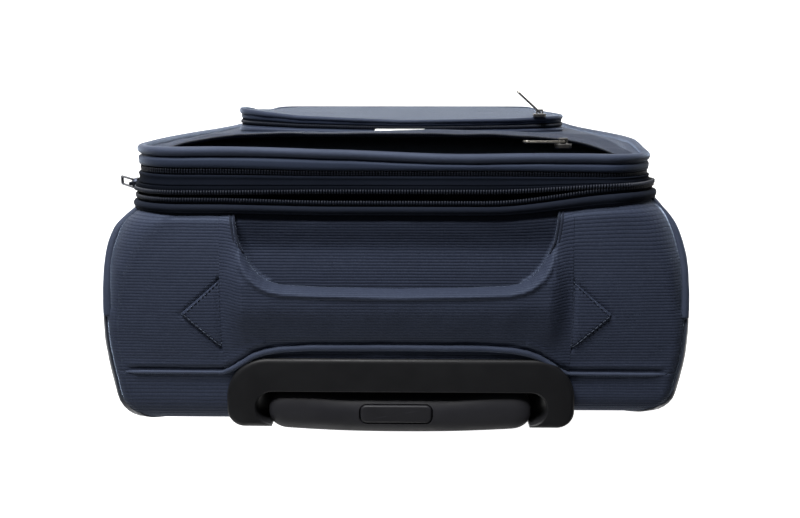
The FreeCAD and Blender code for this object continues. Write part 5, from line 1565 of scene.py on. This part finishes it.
def build_upper_pocket():
    """Slack flap over the upper pocket, its zip open: one row of teeth on the lip, one on the lid."""
    xs = np.linspace(-MOUTH_HALF, MOUTH_HALF, 129)
    zs = np.concatenate([np.linspace(FLAP_LOW, LIP_Z - 8, 46), np.linspace(LIP_Z - 7, LIP_EDGE, 12)])
    gx, gz = np.meshgrid(xs, zs, indexing="ij")
    pts = stack(gx, flap_depth(gx, gz), gz)
    slack = smooth(FLAP_LOW, FLAP_LOW + 30, gz) * (1 - (np.abs(gx) / MOUTH_HALF) ** 6)
    pts[..., 1] += 0.9 * ripple(pts, 40.0, 51) * slack
    # The flap takes the darker copy of the ribbed cloth: painted shade.
    obj = piece("upper_flap", pts, grid_faces(len(xs), len(zs)), "rib_shaded", "lid", "rib_fabric",
                ("upper_pocket_panel",), stack(gx, gz))
    face_front(obj)
    thicken(obj, FLAP_THICK)
    apply_modifiers(obj)
    # tape and teeth on the lip
    x = np.linspace(1 - MOUTH_HALF, MOUTH_HALF - 1, 250)
    lip = stack(x, np.interp(x, xs, pts[:, -1, 1]), LIP_EDGE)
    up = stack(0 * x, 0, 1)
    fore = stack(0 * x, 1, 0)
    edge = ((-0.7, -1.0), (0.5, -1.0), (0.6, 1.2), (0.3, 2.6), (-0.5, 2.6), (-0.7, 1.2))
    tape = np.stack([lip + np.array([0.0, d, h]) for d, h in edge], 1)
    piece("flap_tape", tape, capped(tape), "tape", "lid", "zip_tape", ("upper_pocket_zip",),
          stack(x[:, None], np.arange(tape.shape[1])[None] * 1.4))
    teeth("flap_teeth", lip + np.array([0.0, 0.0, 1.9]), unit(np.gradient(lip, axis=0)), up, fore,
          POCKET_PITCH, (0.95, 1.5, 1.6), "lid", closed=False)
    base = stack(x, face_depth(x, 0 * x + LID_TEETH) + 0.4, LID_TEETH)
    teeth("lid_mouth_teeth", base, unit(np.gradient(base, axis=0)), fore, up,
          POCKET_PITCH, (0.95, 2.2, 1.1), "lid", closed=False)


build_lower_pocket()
build_upper_pocket()


# ---------------------------------------------------------------- side handle

def build_side_handle():
    """Webbing strap that bows out from the side between its two end caps."""
    (_, x1), (d0, d1), (z0, z1) = STRAP
    zs = np.linspace(z0 + 6, z1 - 6, 70)
    t = (zs - (z0 + z1) / 2) / ((z1 - z0) / 2)
    base = float(side_half((d0 + d1) / 2)) + 2.6
    bow = base + (x1 - 3.6 - base) * (1 - smooth(0.62, 0.9, np.abs(t)))
    half = (d1 - d0) / 2
    centre = (d0 + d1) / 2
    ring = [(-half, 0.6), (-half + 0.5, 0.1), (0, 0.0), (half - 0.5, 0.1), (half, 0.6), (half, 2.6),
            (half - 0.9, 3.3), (half * 0.5, 3.7), (0, 3.9), (-half * 0.5, 3.7), (-half + 0.9, 3.3),
            (-half, 2.6)]
    rows = []
    uvs = []
    for z, x in zip(zs, bow):
        rows.append([(x + out, centre + d, z) for d, out in ring])
        uvs.append([(z, d + out) for d, out in ring])
    pts = np.array(rows)
    pts[..., 0] += 0.3 * ripple(pts, 30.0, 61)
    piece("side_strap", pts, capped(pts), "web", "case", "webbing", ("side_handle",), uvs)


build_side_handle()


# ---------------------------------------------------------------- wheels

def revolve(centre, profile):
    """Closed ring turned about the axle from a closed profile of (along the axle, radius)."""
    along, radius = np.array(profile, float).T
    angles = np.linspace(0, 2 * math.pi, 72, endpoint=False)[:, None]
    pts = stack(centre[0] + along, centre[1] + radius * np.cos(angles), centre[2] + radius * np.sin(angles))
    return pts.reshape(-1, 3), grid_faces(len(angles), len(along), True, True)


def both_sides(profile):
    """A closed profile from its half on one side of the wheel, from the inside out."""
    whole = profile + [(-along, radius) for along, radius in reversed(profile)]
    return whole[-1:] + whole[:-1]


TYRE_BORE = 23.0
HUB_RIBS = 6
HUB_RIB = (12.2, 19.6)


def build_wheel(side):
    """Tyre with rounded shoulders and a tread groove, on a hub with ribs."""
    word = "left" if side < 0 else "right"
    (x0, x1), (d0, d1), (z0, z1) = box_mm(word + "_tyre")
    centre = ((x0 + x1) / 2, (d0 + d1) / 2, (z0 + z1) / 2)
    radius = (z1 - z0) / 2
    half = (x1 - x0) / 2
    tyre = [(half - 1.5, TYRE_BORE + 0.03), (half - 0.4, TYRE_BORE + 1.4), (half, TYRE_BORE + 3.2),
            (half - 0.5, radius - 2.6), (half - 2.0, radius - 0.9), (half - 4.2, radius - 0.1),
            (2.0, radius), (1.2, radius - 0.9)]
    piece(word + "_tyre_ring", *revolve(centre, both_sides(tyre)), "tyre", word + "_wheel", "wheel_rubber",
          (word + "_tyre",))
    (h0, h1), _, _ = box_mm(word + "_hub")
    wide = (h1 - h0) / 2
    hub = [(wide - 0.6, 8.55), (wide, 9.2), (wide, 12.0), (wide - 0.7, 12.8), (2.6, 13.4), (2.6, 18.4),
           (wide - 1.2, 19.2), (wide - 0.5, 20.0), (wide - 0.5, TYRE_BORE - 0.6), (wide - 0.9, TYRE_BORE)]
    sets = [revolve(centre, both_sides(hub))]
    for k in range(HUB_RIBS):
        angle = 2 * math.pi * k / HUB_RIBS
        c, s = math.cos(angle), math.sin(angle)
        rib = []
        for r in HUB_RIB:
            for side_mm in (-1.1, 1.1):
                for along in (-wide + 1.4, wide - 1.4):
                    rib.append((centre[0] + along, centre[1] + r * c - side_mm * s,
                                centre[2] + r * s + side_mm * c))
        quads = [(0, 1, 3, 2), (4, 6, 7, 5), (0, 4, 5, 1), (2, 3, 7, 6), (0, 2, 6, 4), (1, 5, 7, 3)]
        sets.append((np.array(rib), np.array(quads)))
    obj = piece(word + "_hub_ribbed", *joined(sets), "hub", word + "_wheel", "hub_plastic",
                (word + "_hub",))
    sharp_by_angle(obj, 35)


build_wheel(-1)
build_wheel(1)


# ---------------------------------------------------------------- lining and hinge roll

def softened(node, name, look, slot, amount, seed, step=9.0):
    """A sewn-in cloth form: the node's own shape cut fine and let slack by a little."""
    obj = copied(node, name)
    with edited(obj.data) as work:
        for _ in range(6):
            long = [e for e in work.edges if e.calc_length() > step * 1.6 * MM]
            if not long:
                break
            bmesh.ops.subdivide_edges(work, edges=long, cuts=1, use_grid_fill=False)
            bmesh.ops.triangulate(work, faces=[f for f in work.faces if len(f.verts) > 4])
        work.normal_update()
        push = ripple(np.array([v.co for v in work.verts]) / MM, 42.0, seed) * amount
        for v, p in zip(work.verts, push):
            v.co += v.normal * float(p) * MM
    register(obj, look, frame["nodes"][node]["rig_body"], slot, (node,))
    sharp_by_angle(obj, 50)
    return obj


LINING = softened("lining", "lining_cloth", "lining", "lining_cloth", 0.45, 71)
HINGE = softened("lid_hinge_roll", "hinge_roll_cloth", "ring", "piping_fabric", 0.05, 72, 4.0)
for vert in HINGE.data.vertices:
    near = vert.co / MM
    vert.co.x += float(side_shift(near.x, near.z, BACK / MM - near.y)) * MM + 1.2 * MM


# ---------------------------------------------------------------- scene

def area_light(name, place, aim, size, power):
    """Soft rectangular lamp."""
    data = bpy.data.lights.new(name, "AREA")
    data.shape = "RECTANGLE"
    data.size, data.size_y = size
    data.energy = power
    lamp = bpy.data.objects.new(name, data)
    lamp.location = place
    lamp.rotation_euler = (Vector(aim) - Vector(place)).to_track_quat("-Z", "Y").to_euler()
    lamp.visible_camera = False
    link(lamp)


def build_floor():
    """Pale floor that glows white to the camera and in reflections, but lights nothing."""
    mesh = bpy.data.meshes.new("floor")
    mesh.from_pydata([(-6, -6, 0), (6, -6, 0), (6, 6, 0), (-6, 6, 0)], [], [(0, 1, 2, 3)])
    floor = bpy.data.objects.new("floor", mesh)
    link(floor)
    n = Nodes("pale_floor")
    rays = n.new("ShaderNodeLightPath").outputs
    path = n.math("MAXIMUM", rays["Is Camera Ray"], rays["Is Glossy Ray"])
    n.put_in(n.shader.inputs["Base Color"], (0.86, 0.86, 0.86, 1.0))
    n.shader.inputs["Roughness"].default_value = 0.9
    n.shader.inputs["Specular IOR Level"].default_value = 0.1
    glow = n.new("ShaderNodeEmission")
    n.link(n.mul(path, 0.9), glow.inputs["Strength"])
    both = n.new("ShaderNodeAddShader")
    n.link(n.shader.outputs[0], both.inputs[0])
    n.link(glow.outputs[0], both.inputs[1])
    n.link(both.outputs[0], n.out.inputs["Surface"])
    mesh.materials.append(n.material)


def build_world():
    """Surroundings that are white to the camera and dim to everything else."""
    world = bpy.data.worlds.new("surround")
    bpy.context.scene.world = world
    world.use_nodes = True
    tree = world.node_tree
    tree.nodes.clear()
    out = tree.nodes.new("ShaderNodeOutputWorld")
    background = tree.nodes.new("ShaderNodeBackground")
    ray = tree.nodes.new("ShaderNodeLightPath")
    level = tree.nodes.new("ShaderNodeMapRange")
    tree.links.new(ray.outputs["Is Camera Ray"], level.inputs[0])
    level.inputs[3].default_value = 0.05
    level.inputs[4].default_value = 1.0
    tree.links.new(level.outputs[0], background.inputs["Strength"])
    background.inputs["Color"].default_value = (1.0, 1.0, 1.0, 1.0)
    tree.links.new(background.outputs[0], out.inputs["Surface"])


def build_camera():
    """The photograph's camera."""
    camera = bpy.data.objects.new("camera", bpy.data.cameras.new("camera"))
    camera.location = (-0.0124, BACK - 0.2357, 1.138)
    camera.rotation_euler = (math.radians(-11.634), math.radians(0.927), math.radians(180.0))
    camera.data.lens = 40.86
    camera.data.sensor_width = 36.0
    link(camera)
    bpy.context.scene.camera = camera
    bpy.context.scene.view_settings.view_transform = "Standard"


build_floor()
build_world()
area_light("key", (0.30, -1.15, 0.98), (0, 0.0, 0.5), (0.8, 0.5), 37)
area_light("top", (-0.1, 0.3, 2.4), (0, 0, 0.4), (1.6, 1.6), 1.2)
area_light("back", (0.35, 1.3, 0.88), (0, 0, 0.45), (1.2, 0.5), 8)
build_camera()
